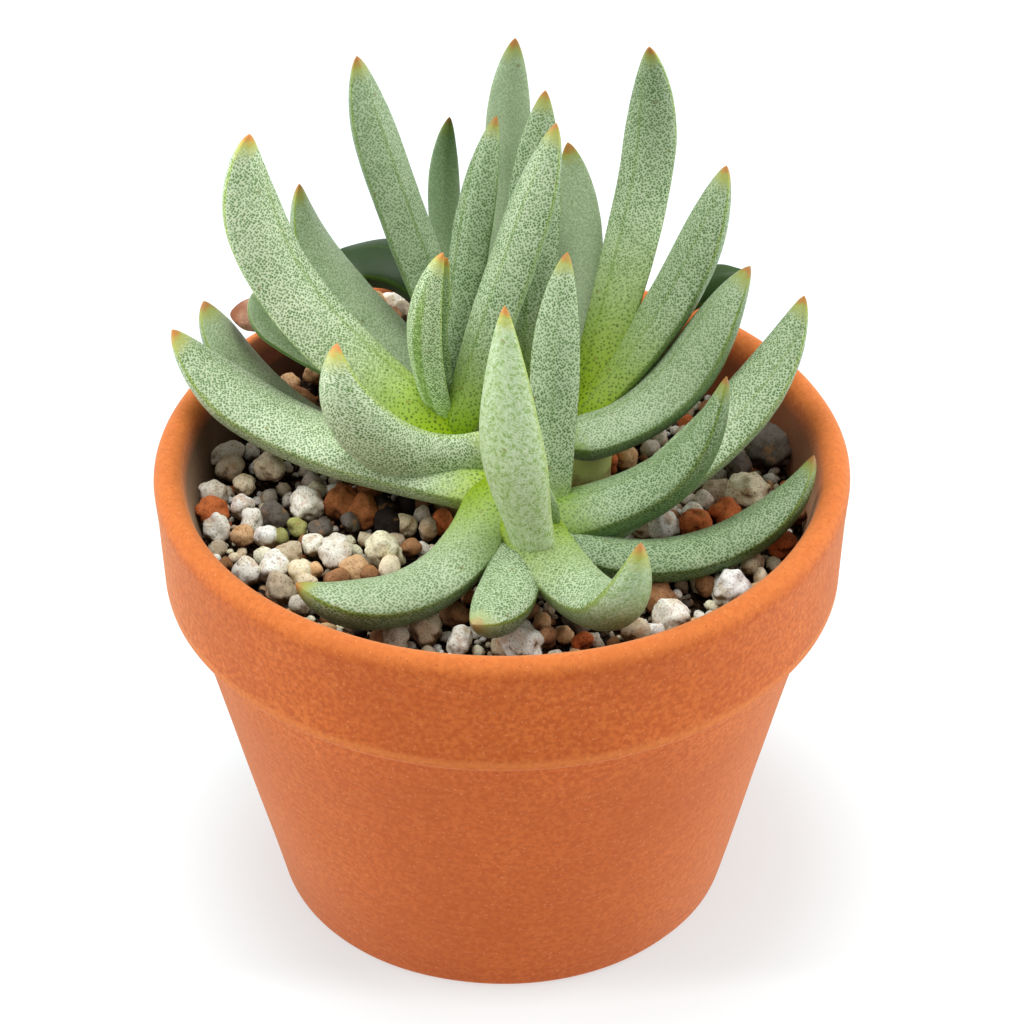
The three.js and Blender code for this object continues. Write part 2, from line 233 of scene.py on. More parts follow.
def stored(steps, geometry, label, value, kind="FLOAT", domain="POINT"):
    """A step that keeps a value on the mesh under a name."""
    node = steps.add("GeometryNodeStoreNamedAttribute", {"Geometry": geometry, "Name": label},
                     data_type=kind, domain=domain)
    steps.feed(node.inputs["Value"], value)
    return node.outputs[0]


def named(steps, label, kind="FLOAT_VECTOR"):
    """A value that the geometry carries under a name."""
    return steps.add("GeometryNodeInputNamedAttribute", {"Name": label}, data_type=kind).outputs[0]


def grid_to_wind(steps, rows, around):
    """A flat grid to be wound round an axis, and the row, column and turn of each point."""
    across = steps.plus(around, 1.0)
    grid = steps.add("GeometryNodeMeshGrid", {"Vertices X": rows, "Vertices Y": across})
    index = steps.add("GeometryNodeInputIndex").outputs[0]
    row = steps.math("FLOOR", steps.over(steps.plus(index, 0.5), across))
    column = steps.minus(index, steps.times(row, across))
    turn = steps.times(steps.over(column, around), 2 * math.pi)
    return grid.outputs["Mesh"], across, row, column, turn


def put_out(steps, geometry, given, end):
    """The last steps of every tree: smooth faces, real geometry and the finish."""
    smooth = steps.add("GeometryNodeSetShadeSmooth", {"Geometry": geometry}).outputs[0]
    real = steps.add("GeometryNodeRealizeInstances", {"Geometry": smooth}).outputs[0]
    coated = steps.add("GeometryNodeSetMaterial", {"Geometry": real, "Material": given["Finish"]})
    steps.feed(end, coated.outputs[0])


def dress(piece, slot, *nodes):
    """Ties a finished piece to the CAD nodes that it stands for."""
    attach(piece, BODY)
    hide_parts(*nodes)


def points_mesh(name, points):
    """A mesh of loose points, given in millimetres."""
    mesh = bpy.data.meshes.new(name)
    mesh.from_pydata([tuple(MM * c for c in p) for p in points], [], [])
    return mesh


print("helpers for geometry trees are ready")

# %% [markdown]
# ## The camera
# The pot is seen from above and in front, so that its mouth shows as an oval. A long lens
# keeps the leaves from swelling towards the viewer. The place and the angle come from the
# oval of the rim and the width of the foot, so the script only has to write them down.

# %% Camera
CAMERA_PLACE = (0.0015, -0.5055, 0.4303)
CAMERA_TILT = math.radians(54.1)
LENS, SENSOR = 145.56, 36.0
NEAREST, FURTHEST = 0.01, 20

camera_data = bpy.data.cameras.new("camera")
camera_data.lens, camera_data.sensor_width = LENS, SENSOR
camera_data.clip_start, camera_data.clip_end = NEAREST, FURTHEST
camera = placed("camera", camera_data)
camera.location = CAMERA_PLACE
camera.rotation_euler = (CAMERA_TILT, 0, 0)
bpy.context.scene.camera = camera
print("camera looks down at", round(90 - math.degrees(CAMERA_TILT), 1), "degrees")

# %% [markdown]
# ## Light and floor
# The clay is bright at both sides and darker in the middle, which is how a round thing looks
# between two wide lamps that stand a little behind it. A third, high lamp reaches the tops
# of the leaves. The surroundings are white. The floor glows a little of its own accord, as
# a lit table does, which keeps it white and its shadows faint and free of the pot's colour.
# Its glow is lower round the foot of the pot, which paints a shadow there, and higher in
# front of the pot, which paints light.

# %% World, lamps and floor
WORLD_LIGHT = 0.5
LAMPS = {  # place, target, width across and power
    "lamp_left": ((-1.2, 0.15, 0.55), (0, 0, 0.05), 1.1, 8.0),
    "lamp_right": ((1.2, 0.25, 0.5), (0, 0, 0.05), 1.1, 10.5),
    "lamp_top": ((-0.15, 0.1, 1.4), (0, 0, 0.08), 0.7, 11.0),
}
FLOOR_HALF = 3.0
FLOOR_DROP = -0.0001
FLOOR_TONES = (0.36, 0.42, 0.43, 1), (0.38, 0.44, 0.45, 1)
FLOOR_GLOW = 0.6
# how the glow changes with the distance from the middle in metres, which paints a shadow round the
# pot's foot, and in front of the pot, which paints light there
GLOW_WITH_PAINTED_SHADOW = (0.035, 0.065, 0.9, 1.1)
PAINTED_LIGHT_IN_FRONT = (-0.028, -0.042, 0.0, 0.24)
GLOW_MOST = 1.14

scene = bpy.context.scene
scene.view_settings.view_transform = "Standard"
scene.world = bpy.data.worlds.new("studio")
scene.world.use_nodes = True
backdrop = scene.world.node_tree.nodes["Background"].inputs
backdrop["Color"].default_value = (1, 1, 1, 1)
backdrop["Strength"].default_value = WORLD_LIGHT

for name, (spot, target, size, power) in LAMPS.items():
    data = bpy.data.lights.new(name, "AREA")
    data.shape, data.size, data.energy = "DISK", size, power
    light = placed(name, data)
    light.location = spot
    light.rotation_euler = (Vector(target) - Vector(spot)).to_track_quat("-Z", "Y").to_euler()


def floor_finish():
    material = bpy.data.materials.new("floor_white")
    material.use_nodes = True
    steps = Steps(material.node_tree)
    shader = material.node_tree.nodes["Principled BSDF"]
    shader.inputs["Roughness"].default_value = 0.9
    shader.inputs["Specular IOR Level"].default_value = 0.0
    shader.inputs["Emission Strength"].default_value = FLOOR_GLOW
    place = steps.add("ShaderNodeTexCoord").outputs["Object"]
    steps.feed(shader.inputs["Base Color"], steps.mix(steps.noise(place, 3.0), *FLOOR_TONES))
    away = steps.vector("LENGTH", steps.vector("MULTIPLY", place, (1, 1, 0)))
    # painted shadow: the floor glows less round the pot's foot; painted light: it glows more in front
    glow = steps.soft(away, *GLOW_WITH_PAINTED_SHADOW)
    front = steps.soft(steps.split(place)[1], *PAINTED_LIGHT_IN_FRONT)
    glow = steps.math("MINIMUM", GLOW_MOST, steps.plus(glow, front))
    steps.feed(shader.inputs["Emission Color"], steps.join(glow, glow, glow))
    return material


corners = [(x * FLOOR_HALF, y * FLOOR_HALF, FLOOR_DROP)
           for x, y in ((-1, -1), (1, -1), (1, 1), (-1, 1))]
floor_mesh = bpy.data.meshes.new("floor")
floor_mesh.from_pydata(corners, [], [(0, 1, 2, 3)])
floor_mesh.materials.append(floor_finish())
floor = placed("floor", floor_mesh)
print("lamps:", len(LAMPS))

# %% [markdown]
# ## A recipe for round things
# The pot, the soil bed and the stems are all turned round an axis, as on a potter's wheel.
# Blender has a Screw modifier for that, but a geometry tree can do more: this one lays a
# flat grid round the axis, one row for each point of a drawn profile, and then lets a soft
# noise push it a little out of true. Nothing made by hand is a perfect circle.
# The profile is a row of points whose x is the radius and whose z is the height. A mark on
# each point goes to its row: it says which rows are lumpy soil, or the inside of the pot.

# %% Geometry tree: turned form
TURNED_INPUTS = {"Around": 192, "Rows": 10, "Foot": (0.0, 0.0, 0.0), "Lean": (0.0, 0.0, 0.0),
                 "Warp": 0.1, "Warp size": 30.0, "Lumps": 0.0, "Lump size": 3.0,
                 "Heap place": (0.0, 0.0, 0.0), "Heap radius": 1.0, "Heap height": 0.0,
                 "Finish": None}
AXIS_CALM = 5
WELD_DISTANCE = 0.001


def turned_tree():
    tree, steps, given, end = geometry_tree("turned_form", TURNED_INPUTS)
    plus, minus, times, vector = steps.plus, steps.minus, steps.times, steps.vector
    grid, _, row, _, angle = grid_to_wind(steps, given["Rows"], given["Around"])

    def at_row(value, kind):
        """What the profile holds at the point that this row stands for."""
        sample = steps.add("GeometryNodeSampleIndex", {"Geometry": given["Geometry"], "Index": row},
                           data_type=kind)
        steps.feed(sample.inputs["Value"], value)
        return sample.outputs[0]

    def noise_push(size, detail, roughness, height):
        """A noise of a size in millimetres, as a push of up to a height both ways."""
        sample = vector("DIVIDE", in_mm, steps.join(size, size, size))
        return times(minus(steps.noise(sample, 1.0, detail, roughness), 0.5), times(height, 2 * MM))

    place = steps.add("GeometryNodeInputPosition").outputs[0]
    radius, _, height = steps.split(at_row(place, "FLOAT_VECTOR"))
    mark = at_row(named(steps, "mark", "FLOAT"), "FLOAT")
    wound = steps.join(times(radius, steps.math("COSINE", angle)),
                       times(radius, steps.math("SINE", angle)), height)
    in_mm = steps.scaled(wound, 1 / MM)
    push = times(noise_push(given["Warp size"], 1.0, 0.5, given["Warp"]),
                 steps.range(radius, 0.0, AXIS_CALM * MM))
    outward = vector("NORMALIZE", vector("MULTIPLY", wound, (1, 1, 0)))
    warped = vector("ADD", wound, steps.scaled(outward, push))
    away = vector("DISTANCE", vector("MULTIPLY", in_mm, (1, 1, 0)), given["Heap place"])
    heap = steps.soft(away, 0.0, given["Heap radius"], given["Heap height"], 0.0)
    rise = plus(noise_push(given["Lump size"], 4.0, 0.6, given["Lumps"]), times(heap, MM))
    lumped = vector("ADD", warped, steps.join(0, 0, times(rise, mark)))
    lean = steps.scaled(given["Lean"], height)
    stood = vector("ADD", lumped, vector("ADD", lean, steps.scaled(given["Foot"], MM)))
    moved = steps.add("GeometryNodeSetPosition", {"Geometry": grid, "Position": stood})
    shape = stored(steps, moved.outputs[0], "mark", mark)
    closed = steps.add("GeometryNodeMergeByDistance", {"Geometry": shape,
                                                       "Distance": WELD_DISTANCE * MM})
    put_out(steps, closed.outputs[0], given, end)
    return tree


TURNED = turned_tree()


def turned(name, profile, values, marks=None):
    """A closed form turned from a profile of (radius, height) pairs in millimetres."""
    mesh = points_mesh(name + "_profile", [(r, 0, z) for r, z in profile])
    flags = mesh.attributes.new("mark", "FLOAT", "POINT")
    flags.data.foreach_set("value", [float(v) for v in (marks or [0] * len(profile))])
    piece = plain_piece(name, mesh, TURNED, {"Rows": len(profile), **values})
    print(name, "faces", len(piece.data.polygons))
    return piece


# %% [markdown]
# ## Effects that several finishes share
# Clay, stone, soil and leaves all vary a little in tone from place to place, and most of
# them have a fine grain that catches the light. Each such effect is a small group with
# named inputs, built once and placed in each material with its own values. A group puts
# out only masks and heights. The shader itself stays in the material.

# %% Shared groups: mottle and grain
def shader_group(name, inputs, outputs):
    tree = bpy.data.node_groups.new(name, "ShaderNodeTree")
    for label, value in inputs.items():
        socket = tree.interface.new_socket(label, in_out="INPUT", socket_type=SOCKETS[type(value)])
        socket.default_value = value
    for label in outputs:
        tree.interface.new_socket(label, in_out="OUTPUT", socket_type="NodeSocketFloat")
    steps = Steps(tree)
    given = steps.add("NodeGroupInput").outputs
    result = steps.add("NodeGroupOutput").inputs
    return tree, steps, given, result


def mottle_group():
    """Soft patches, from 0 to 1, with a contrast that can be set."""
    tree, steps, given, result = shader_group(
        "mottle", {"Vector": (0.0, 0.0, 0.0), "Size": 10.0, "Contrast": 1.0}, ["Value"])
    scale = steps.over(1.0, given["Size"])
    patches = steps.noise(steps.scaled(given["Vector"], scale), 1.0, 3.0, 0.55)
    centred = steps.times(steps.minus(patches, 0.5), given["Contrast"])
    steps.feed(result["Value"], steps.plus(centred, 0.5, clamp=True))
    return tree


def grain_group():
    """A fine height: small grains, and pits of a size that can be set."""
    tree, steps, given, result = shader_group(
        "grain", {"Vector": (0.0, 0.0, 0.0), "Grain": 0.4, "Pits": 1.0, "Pit depth": 0.5},
        ["Height", "Pit"])
    fine = steps.scaled(given["Vector"], steps.over(1.0, given["Grain"]))
    coarse = steps.scaled(given["Vector"], steps.over(1.0, given["Pits"]))
    bumps = steps.noise(fine, 1.0, 2.0, 0.6)
    holes = steps.soft(steps.cells(coarse, 1.0)["Distance"], 0.08, 0.32, 1.0, 0.0)
    chance = steps.range(steps.noise(coarse, 0.45, 1.0), 0.5, 0.6, 0.0, 1.0)
    pit = steps.times(holes, chance)
    steps.feed(result["Pit"], pit)
    steps.feed(result["Height"], steps.minus(bumps, steps.times(pit, given["Pit depth"])))
    return tree


MOTTLE, GRAIN = mottle_group(), grain_group()


def finish(name, roughness=0.6, specular=0.5):
    """A new material: its steps, its shader, and object coordinates in millimetres."""
    material = bpy.data.materials.new(name)
    material.use_nodes = True
    steps = Steps(material.node_tree)
    shader = material.node_tree.nodes["Principled BSDF"]
    shader.inputs["Roughness"].default_value = roughness
    shader.inputs["Specular IOR Level"].default_value = specular
    place = steps.add("ShaderNodeTexCoord").outputs["Object"]
    return material, steps, shader, steps.scaled(place, 1 / MM)


def use(steps, group, values):
    node = steps.add("ShaderNodeGroup", node_tree=group)
    for label, value in values.items():
        steps.feed(node.inputs[label], value)
    return node.outputs


def mottled(steps, vector, size, contrast):
    return use(steps, MOTTLE, {"Vector": vector, "Size": size, "Contrast": contrast})["Value"]


def carried(steps, label, output="Fac"):
    """A value that a geometry tree left on the mesh."""
    return steps.add("ShaderNodeAttribute", attribute_name=label).outputs[output]


def bumped(steps, shader, height, strength, distance):
    node = steps.add("ShaderNodeBump", {"Height": height, "Strength": strength,
                                        "Distance": distance * MM})
    steps.feed(shader.inputs["Normal"], node.outputs[0])


print("shared groups:", MOTTLE.name, GRAIN.name)

# %% [markdown]
# ## Fired clay
# The pot is plain unglazed terracotta. It is matte, a warm orange with faint clouds,
# fine pale and dark specks from the grog in the clay, and thin scratches that run round it
# from the turning. The top of the lip is painted paler, as a highlight, and the rounded
# lower edge of the collar is paler, partly from dust and partly as a painted highlight.
# The lower body is painted darker, as shade. Inside, above the soil, the wall is painted
# much darker, as shade, and darkest at the left. At the back left the painted shade also
# covers the inside of the lip, and it shows as a dark patch on the outside of the body
# there, below the collar. The colours sit on object coordinates, so
# they wrap the whole pot without a seam.

# %% Terracotta finish
CLAY, CLAY_DEEP, CLAY_PALE = paint(222, 110, 40), paint(184, 78, 24), paint(238, 146, 76)
# painted shade for the inner wall, and its darkest tone at the left
INSIDE_SHADE, INSIDE_DARK_SHADE = paint(128, 60, 22), paint(46, 20, 4)
DARK_SPECK, PALE_SPECK = paint(140, 66, 32), paint(244, 176, 130)
CLAY_BLOOM = (1.0, 0.7, 0.44, 1.0)
# painted shade on the lower body, and a painted highlight on the top of the lip
BODY_SHADE, PAINTED_LIP_HIGHLIGHT = (40.0, 55.0), (72.6, 74.6)
# the collar's rounded lower edge is paler: dust, and a painted highlight
COLLAR_FOOT = (55.6, 56.6), (56.8, 58.0)
# painted shade on the inner lip at the back left, which also darkens the body there below the collar
LIP_SHADE_INSIDE, LIP_SHADE_LEFT, LIP_SHADE_BACK = (48.8, 50.4), (-15.0, -8.0), (14.0, 22.0)
# the painted shade inside the pot is darkest towards the left
SHADIER_LEFT = (-36.0, -8.0)


def terracotta():
    material, steps, shader, mm = finish("terracotta", roughness=0.8, specular=0.2)
    times = steps.times
    x, y, z = steps.split(mm)
    rings = mottled(steps, steps.vector("MULTIPLY", mm, (1.0, 1.0, 9.0)), 9.0, 2.0)
    patches, fine = mottled(steps, mm, 2.6, 2.2), mottled(steps, mm, 0.8, 5.0)
    # a paler band on the collar's lower edge: dust, and a painted highlight
    pale_coat = times(steps.soft(z, *COLLAR_FOOT[0]),
                 steps.soft(z, *COLLAR_FOOT[1], 1.0, 0.0))
    colour = steps.coats(steps.mix(mottled(steps, mm, 22.0, 1.4), CLAY_DEEP, CLAY), [
        (times(rings, 0.16), CLAY_PALE),
        (times(patches, 0.16), CLAY_PALE),
        (times(fine, 0.7), CLAY_DEEP),
        # painted shade on the lower body
        (steps.soft(z, *BODY_SHADE, 0.35, 0.0), CLAY_DEEP),
        # a painted highlight on the top of the lip
        (steps.soft(z, *PAINTED_LIP_HIGHLIGHT, 0.0, 0.4), CLAY_PALE),
        (steps.range(steps.cells(mm, 1.1)["Distance"], 0.08, 0.2, 0.4, 0.0), DARK_SPECK),
        (steps.range(steps.cells(mm, 1.0)["Distance"], 0.06, 0.2, 0.3, 0.0), PALE_SPECK),
        (times(pale_coat, 0.35), CLAY_PALE)])
    radius = steps.vector("LENGTH", steps.vector("MULTIPLY", mm, (1, 1, 0)))
    ragged_x = steps.plus(x, times(patches, 3.0))
    # painted shade on the inner lip at the back left, which also reaches the body below the collar
    lip_shade = times(steps.soft(radius, *LIP_SHADE_INSIDE, 0.88, 0.0),
                  steps.soft(ragged_x, *LIP_SHADE_LEFT, 1.0, 0.0))
    lip_shade = times(lip_shade, steps.soft(y, *LIP_SHADE_BACK))
    # painted shade on the inner wall and the inner lip, darkest at the left
    inside_shade_mask = steps.math("MAXIMUM", carried(steps, "mark"), lip_shade)
    shade_colour = steps.mix(steps.soft(x, *SHADIER_LEFT, 0.9, 0.0), INSIDE_SHADE, INSIDE_DARK_SHADE)
    steps.feed(shader.inputs["Base Color"], steps.mix(inside_shade_mask, colour, shade_colour))
    for label, value in (("Weight", 0.38), ("Roughness", 0.45), ("Tint", CLAY_BLOOM)):
        shader.inputs["Sheen " + label].default_value = value
    grain = use(steps, GRAIN, {"Vector": mm, "Grain": 0.35, "Pits": 1.6, "Pit depth": 1.5})
    bumped(steps, shader, steps.plus(grain["Height"], times(rings, 1.2)), 0.3, 0.1)
    return material


TERRACOTTA = terracotta()
print("finish:", TERRACOTTA.name)

# %% [markdown]
# ## The pot
# It tapers from the foot to a thick collar with a rounded lip. The profile runs from the
# middle of the underside, up the outside, over the lip, and down to the floor inside, so
# the wall is one closed skin. The corners are short arcs, because fired clay has no sharp
# edge: the collar's lower edge is soft, and a faint step marks where it meets the body.

# %% Pot
PROFILE_STEP = 1.2


def arc(centre, radius, start, stop, count):
    turns = np.radians(np.linspace(start, stop, count))
    return [(centre[0] + radius * math.cos(a), centre[1] + radius * math.sin(a)) for a in turns]


def filled(points, step):
    """The same line with points no further apart than a step."""
    out = [points[0]]
    for a, b in zip(points, points[1:]):
        count = max(1, math.ceil(math.dist(a, b) / step))
        out += [tuple(np.array(a) + (np.array(b) - a) * k / count) for k in range(1, count + 1)]
    return out


POT_CORNERS = ([(0, 0.0), (33.8, 0.0)] + arc((33.9, 1.2), 1.2, -80, -10, 5)
               + [(48.0, 54.6)] + arc((48.7, 54.9), 0.5, 175, 100, 4)
               + arc((50.1, 56.3), 0.9, -85, 0, 6) + [(51.55, 68.0)]
               + arc((49.75, 72.8), 2.2, 0, 165, 14) + [(46.9, 71.0), (46.0, 66.0)]
               + [(31.5, 7.0), (30.6, 6.0), (0, 6.0)])
# how high the painted shade inside the pot reaches, and how soon it fades
INNER_LIP_RADIUS, SHADE_TOP, SHADE_FADE = 47.4, 73.2, 2.0


def inside_share(radius, height):
    """1 on the inner wall, where shade is painted, fading to 0 at the lip."""
    if radius > INNER_LIP_RADIUS:
        return 0.0
    return min(1.0, max(0.0, (SHADE_TOP - height) / SHADE_FADE))


pot_line = filled(POT_CORNERS, PROFILE_STEP)
lip_row = max(range(len(pot_line)), key=lambda k: pot_line[k][1])
pot_marks = [inside_share(*p) if k > lip_row else 0.0 for k, p in enumerate(pot_line)]
pot = turned("pot_wall", pot_line, {"Around": 216, "Warp": 0.25, "Warp size": 28.0,
                                    "Finish": TERRACOTTA}, pot_marks)
dress(pot, "terracotta", "pot")

# %% [markdown]
# ## Stone and soil finishes
# The grit is a mix: white pumice full of tiny pores, grey and tan stones, orange-brown
# lava, a few dark or greenish bits. One material serves them all. Each stone carries its
# own colour as an attribute, and the material adds pores, dust, and painted shade on the
# faces that look down. The soil under them is dark and crumbly.

# %% Stone and soil finishes
STONE_COLOURS = {
    "white": paint(255, 252, 240), "cream": paint(254, 240, 208), "grey": paint(214, 206, 190),
    "stone": paint(206, 190, 164), "tan": paint(228, 186, 140), "lava": paint(204, 112, 60),
    "bark": paint(160, 98, 54), "brown": paint(168, 122, 84), "dark": paint(110, 102, 94),
    "olive": paint(172, 174, 108), "olivewhite": paint(244, 240, 208), "black": paint(34, 24, 17),
}


# UNDERSIDE_SHADE is the tone of the painted shade under the stones
WHITE, UNDERSIDE_SHADE, RUST = (1, 1, 1, 1), (0.24, 0.16, 0.1, 1), paint(186, 132, 76)
PORE = paint(80, 58, 38)


def stone_finish():
    material, steps, shader, mm = finish("grit", roughness=0.85, specular=0.3)
    patches, speckle = mottled(steps, mm, 1.8, 2.2), mottled(steps, mm, 0.32, 3.2)
    tone = carried(steps, "stone_colour", "Color")
    tone = steps.darkened(tone, patches, [(0.1, (0.82, 0.75, 0.64, 1)), (0.5, WHITE)])
    tone = steps.darkened(tone, speckle, [(0.05, (0.6, 0.54, 0.46, 1)), (0.36, WHITE)])
    grain = use(steps, GRAIN, {"Vector": mm, "Grain": 0.28, "Pits": 0.95, "Pit depth": 1.6})
    rusty = steps.range(steps.noise(mm, 0.42, 2.0), 0.58, 0.7, 0.0, 0.5)
    tone = steps.coats(tone, [(steps.times(grain["Pit"], 0.3), PORE), (rusty, RUST)])
    # painted shade where the faces look down, broken up by patches
    facing = steps.split(steps.add("ShaderNodeNewGeometry").outputs["Normal"])[2]
    underside_shade = steps.soft(steps.plus(facing, patches), 0.0, 0.8, 0.8, 0.0)
    tone = steps.darkened(tone, underside_shade, [(0.0, WHITE), (0.8, UNDERSIDE_SHADE)])
    steps.feed(shader.inputs["Base Color"], tone)
    bumped(steps, shader, steps.plus(grain["Height"], patches), 0.5, 0.14)
    return material


def soil_finish():
    material, steps, shader, mm = finish("dark_soil", roughness=0.95, specular=0.2)
    crumbs = steps.cells(mm, 1.3)
    tone = steps.ramp(steps.split(crumbs["Color"])[0],
                      [(0.0, paint(24, 15, 9)), (0.55, paint(52, 36, 24)), (0.8, paint(84, 60, 40)),
                       (0.93, paint(120, 96, 70)), (1.0, paint(60, 40, 26))])
    fine = mottled(steps, mm, 0.5, 3.0)
    tone = steps.darkened(tone, fine, [(0.0, (0.3, 0.3, 0.3, 1)), (0.7, (1.2, 1.2, 1.2, 1))])
    steps.feed(shader.inputs["Base Color"], tone)
    bumped(steps, shader, steps.plus(steps.minus(1.0, crumbs["Distance"]), fine), 1.0, 0.4)
    return material


STONE, SOIL = stone_finish(), soil_finish()
print("finishes:", STONE.name, SOIL.name)

# %% [markdown]
# ## The soil bed
# Under the grit lies dark soil, which fills the pot from its floor to just under the rim.
# It is turned like the pot, from a profile whose top rows are marked as lumpy, so the noise
# raises and lowers only its surface. It is a closed body, as the CAD solid is.

# %% Soil bed
SOIL_TOP, SOIL_EDGE = 63.4, 45.2
SOIL_FOOT = (30.3, 6.6)
SOIL_RINGS = 90
HEAP_PLACE, HEAP_RADIUS, HEAP_HEIGHT = (-20.0, 36.0), 20.0, 10.6


def heap(x, y):
    """How much higher the bed lies at a place, in millimetres."""
    left = 1 - min(1.0, math.dist((x, y), HEAP_PLACE) / HEAP_RADIUS)
    return HEAP_HEIGHT * left * left * (3 - 2 * left)


def soil_profile():
    rings = np.linspace(SOIL_EDGE, 0, SOIL_RINGS)
    line = filled([(0, SOIL_FOOT[1]), SOIL_FOOT, (SOIL_EDGE, SOIL_TOP - 1)], 6.0)
    return line + [(r, SOIL_TOP) for r in rings], [0] * len(line) + [1] * len(rings)


soil_line, soil_flags = soil_profile()
soil = turned("soil_bed", soil_line, {"Around": 240, "Warp": 0.0, "Lumps": 1.3, "Lump size": 3.2,
                                      "Heap place": (*HEAP_PLACE, 0.0), "Heap radius": HEAP_RADIUS,
                                      "Heap height": HEAP_HEIGHT, "Finish": SOIL}, soil_flags)
dress(soil, "soil", "soil_and_grit")

# %% [markdown]
# ## A recipe for grit
# A thousand stones are too many to model by hand, yet each must differ from the next. The
# tree sets one rounded ball on each point, turned and stretched by the point's own
# attributes, makes the copies real, and then pushes every vertex in or out by a noise that
# lives in space. Each copy sits in another part of the noise, so no two come out alike.
# Ball detail is an input: the few stones that the eye rests on get many faces, and the
# small gravel only a few dozen.

# %% Geometry tree: lumpy stones
STONE_INPUTS = {"Detail": 3, "Lump depth": 0.3, "Lump size": 2.2, "Pit depth": 0.1,
                "Pit size": 0.8, "Finish": None}
PIT_EDGE = 0.4


def stones_tree():
    tree, steps, given, end = geometry_tree("lumpy_stones", STONE_INPUTS)
    minus, times, over, vector = steps.minus, steps.times, steps.over, steps.vector
    cloud = steps.add("GeometryNodeMeshToPoints", {"Mesh": given["Geometry"]}).outputs[0]
    ball = steps.add("GeometryNodeMeshIcoSphere", {"Radius": 0.5 * MM, "Subdivisions": given["Detail"]})
    turn = steps.add("FunctionNodeEulerToRotation", {0: named(steps, "turn")}).outputs[0]
    stretch = named(steps, "stretch")
    copies = steps.add("GeometryNodeInstanceOnPoints", {
        "Points": cloud, "Instance": ball.outputs["Mesh"], "Rotation": turn, "Scale": stretch})
    real = steps.add("GeometryNodeRealizeInstances", {"Geometry": copies.outputs[0]}).outputs[0]
    place = steps.scaled(steps.add("GeometryNodeInputPosition").outputs[0], 1 / MM)
    normal = steps.add("GeometryNodeInputNormal").outputs[0]
    lump = steps.noise(steps.scaled(place, over(1.0, given["Lump size"])), 1.0, 1.0)
    pits = steps.cells(steps.scaled(place, over(1.0, given["Pit size"])), 1.0)
    push = steps.plus(times(minus(lump, 0.5), given["Lump depth"]),
                      times(minus(PIT_EDGE, pits["Distance"]), given["Pit depth"]))
    push = times(push, times(vector("LENGTH", stretch), MM))
    moved = steps.add("GeometryNodeSetPosition", {"Geometry": real,
                                                  "Offset": steps.scaled(normal, push)})
    put_out(steps, moved.outputs[0], given, end)
    return tree


LUMPY = stones_tree()


def stones(name, places, sizes, colours, turns, stretches, values):
    """Stones at the given places, in millimetres, as one plain mesh."""
    mesh = points_mesh(name + "_points", places)
    for label, kind, field, data in (("turn", "FLOAT_VECTOR", "vector", turns),
                                     ("stretch", "FLOAT_VECTOR", "vector", sizes * stretches),
                                     ("stone_colour", "FLOAT_COLOR", "color", colours)):
        layer = mesh.attributes.new(label, kind, "POINT")
        layer.data.foreach_set(field, np.asarray(data, float).ravel())
    piece = plain_piece(name, mesh, LUMPY, {"Finish": STONE, **values})
    print(name, "stones", len(places), "faces", len(piece.data.polygons))
    return piece


# %% [markdown]
# ## The stones that the eye knows
# About ninety stones lie in the open, and each has its own place, size and colour. They
# are listed one by one: x, y and width in millimetres, and a kind. A heap of paler stones
# lies at the back, where the soil rises a little.

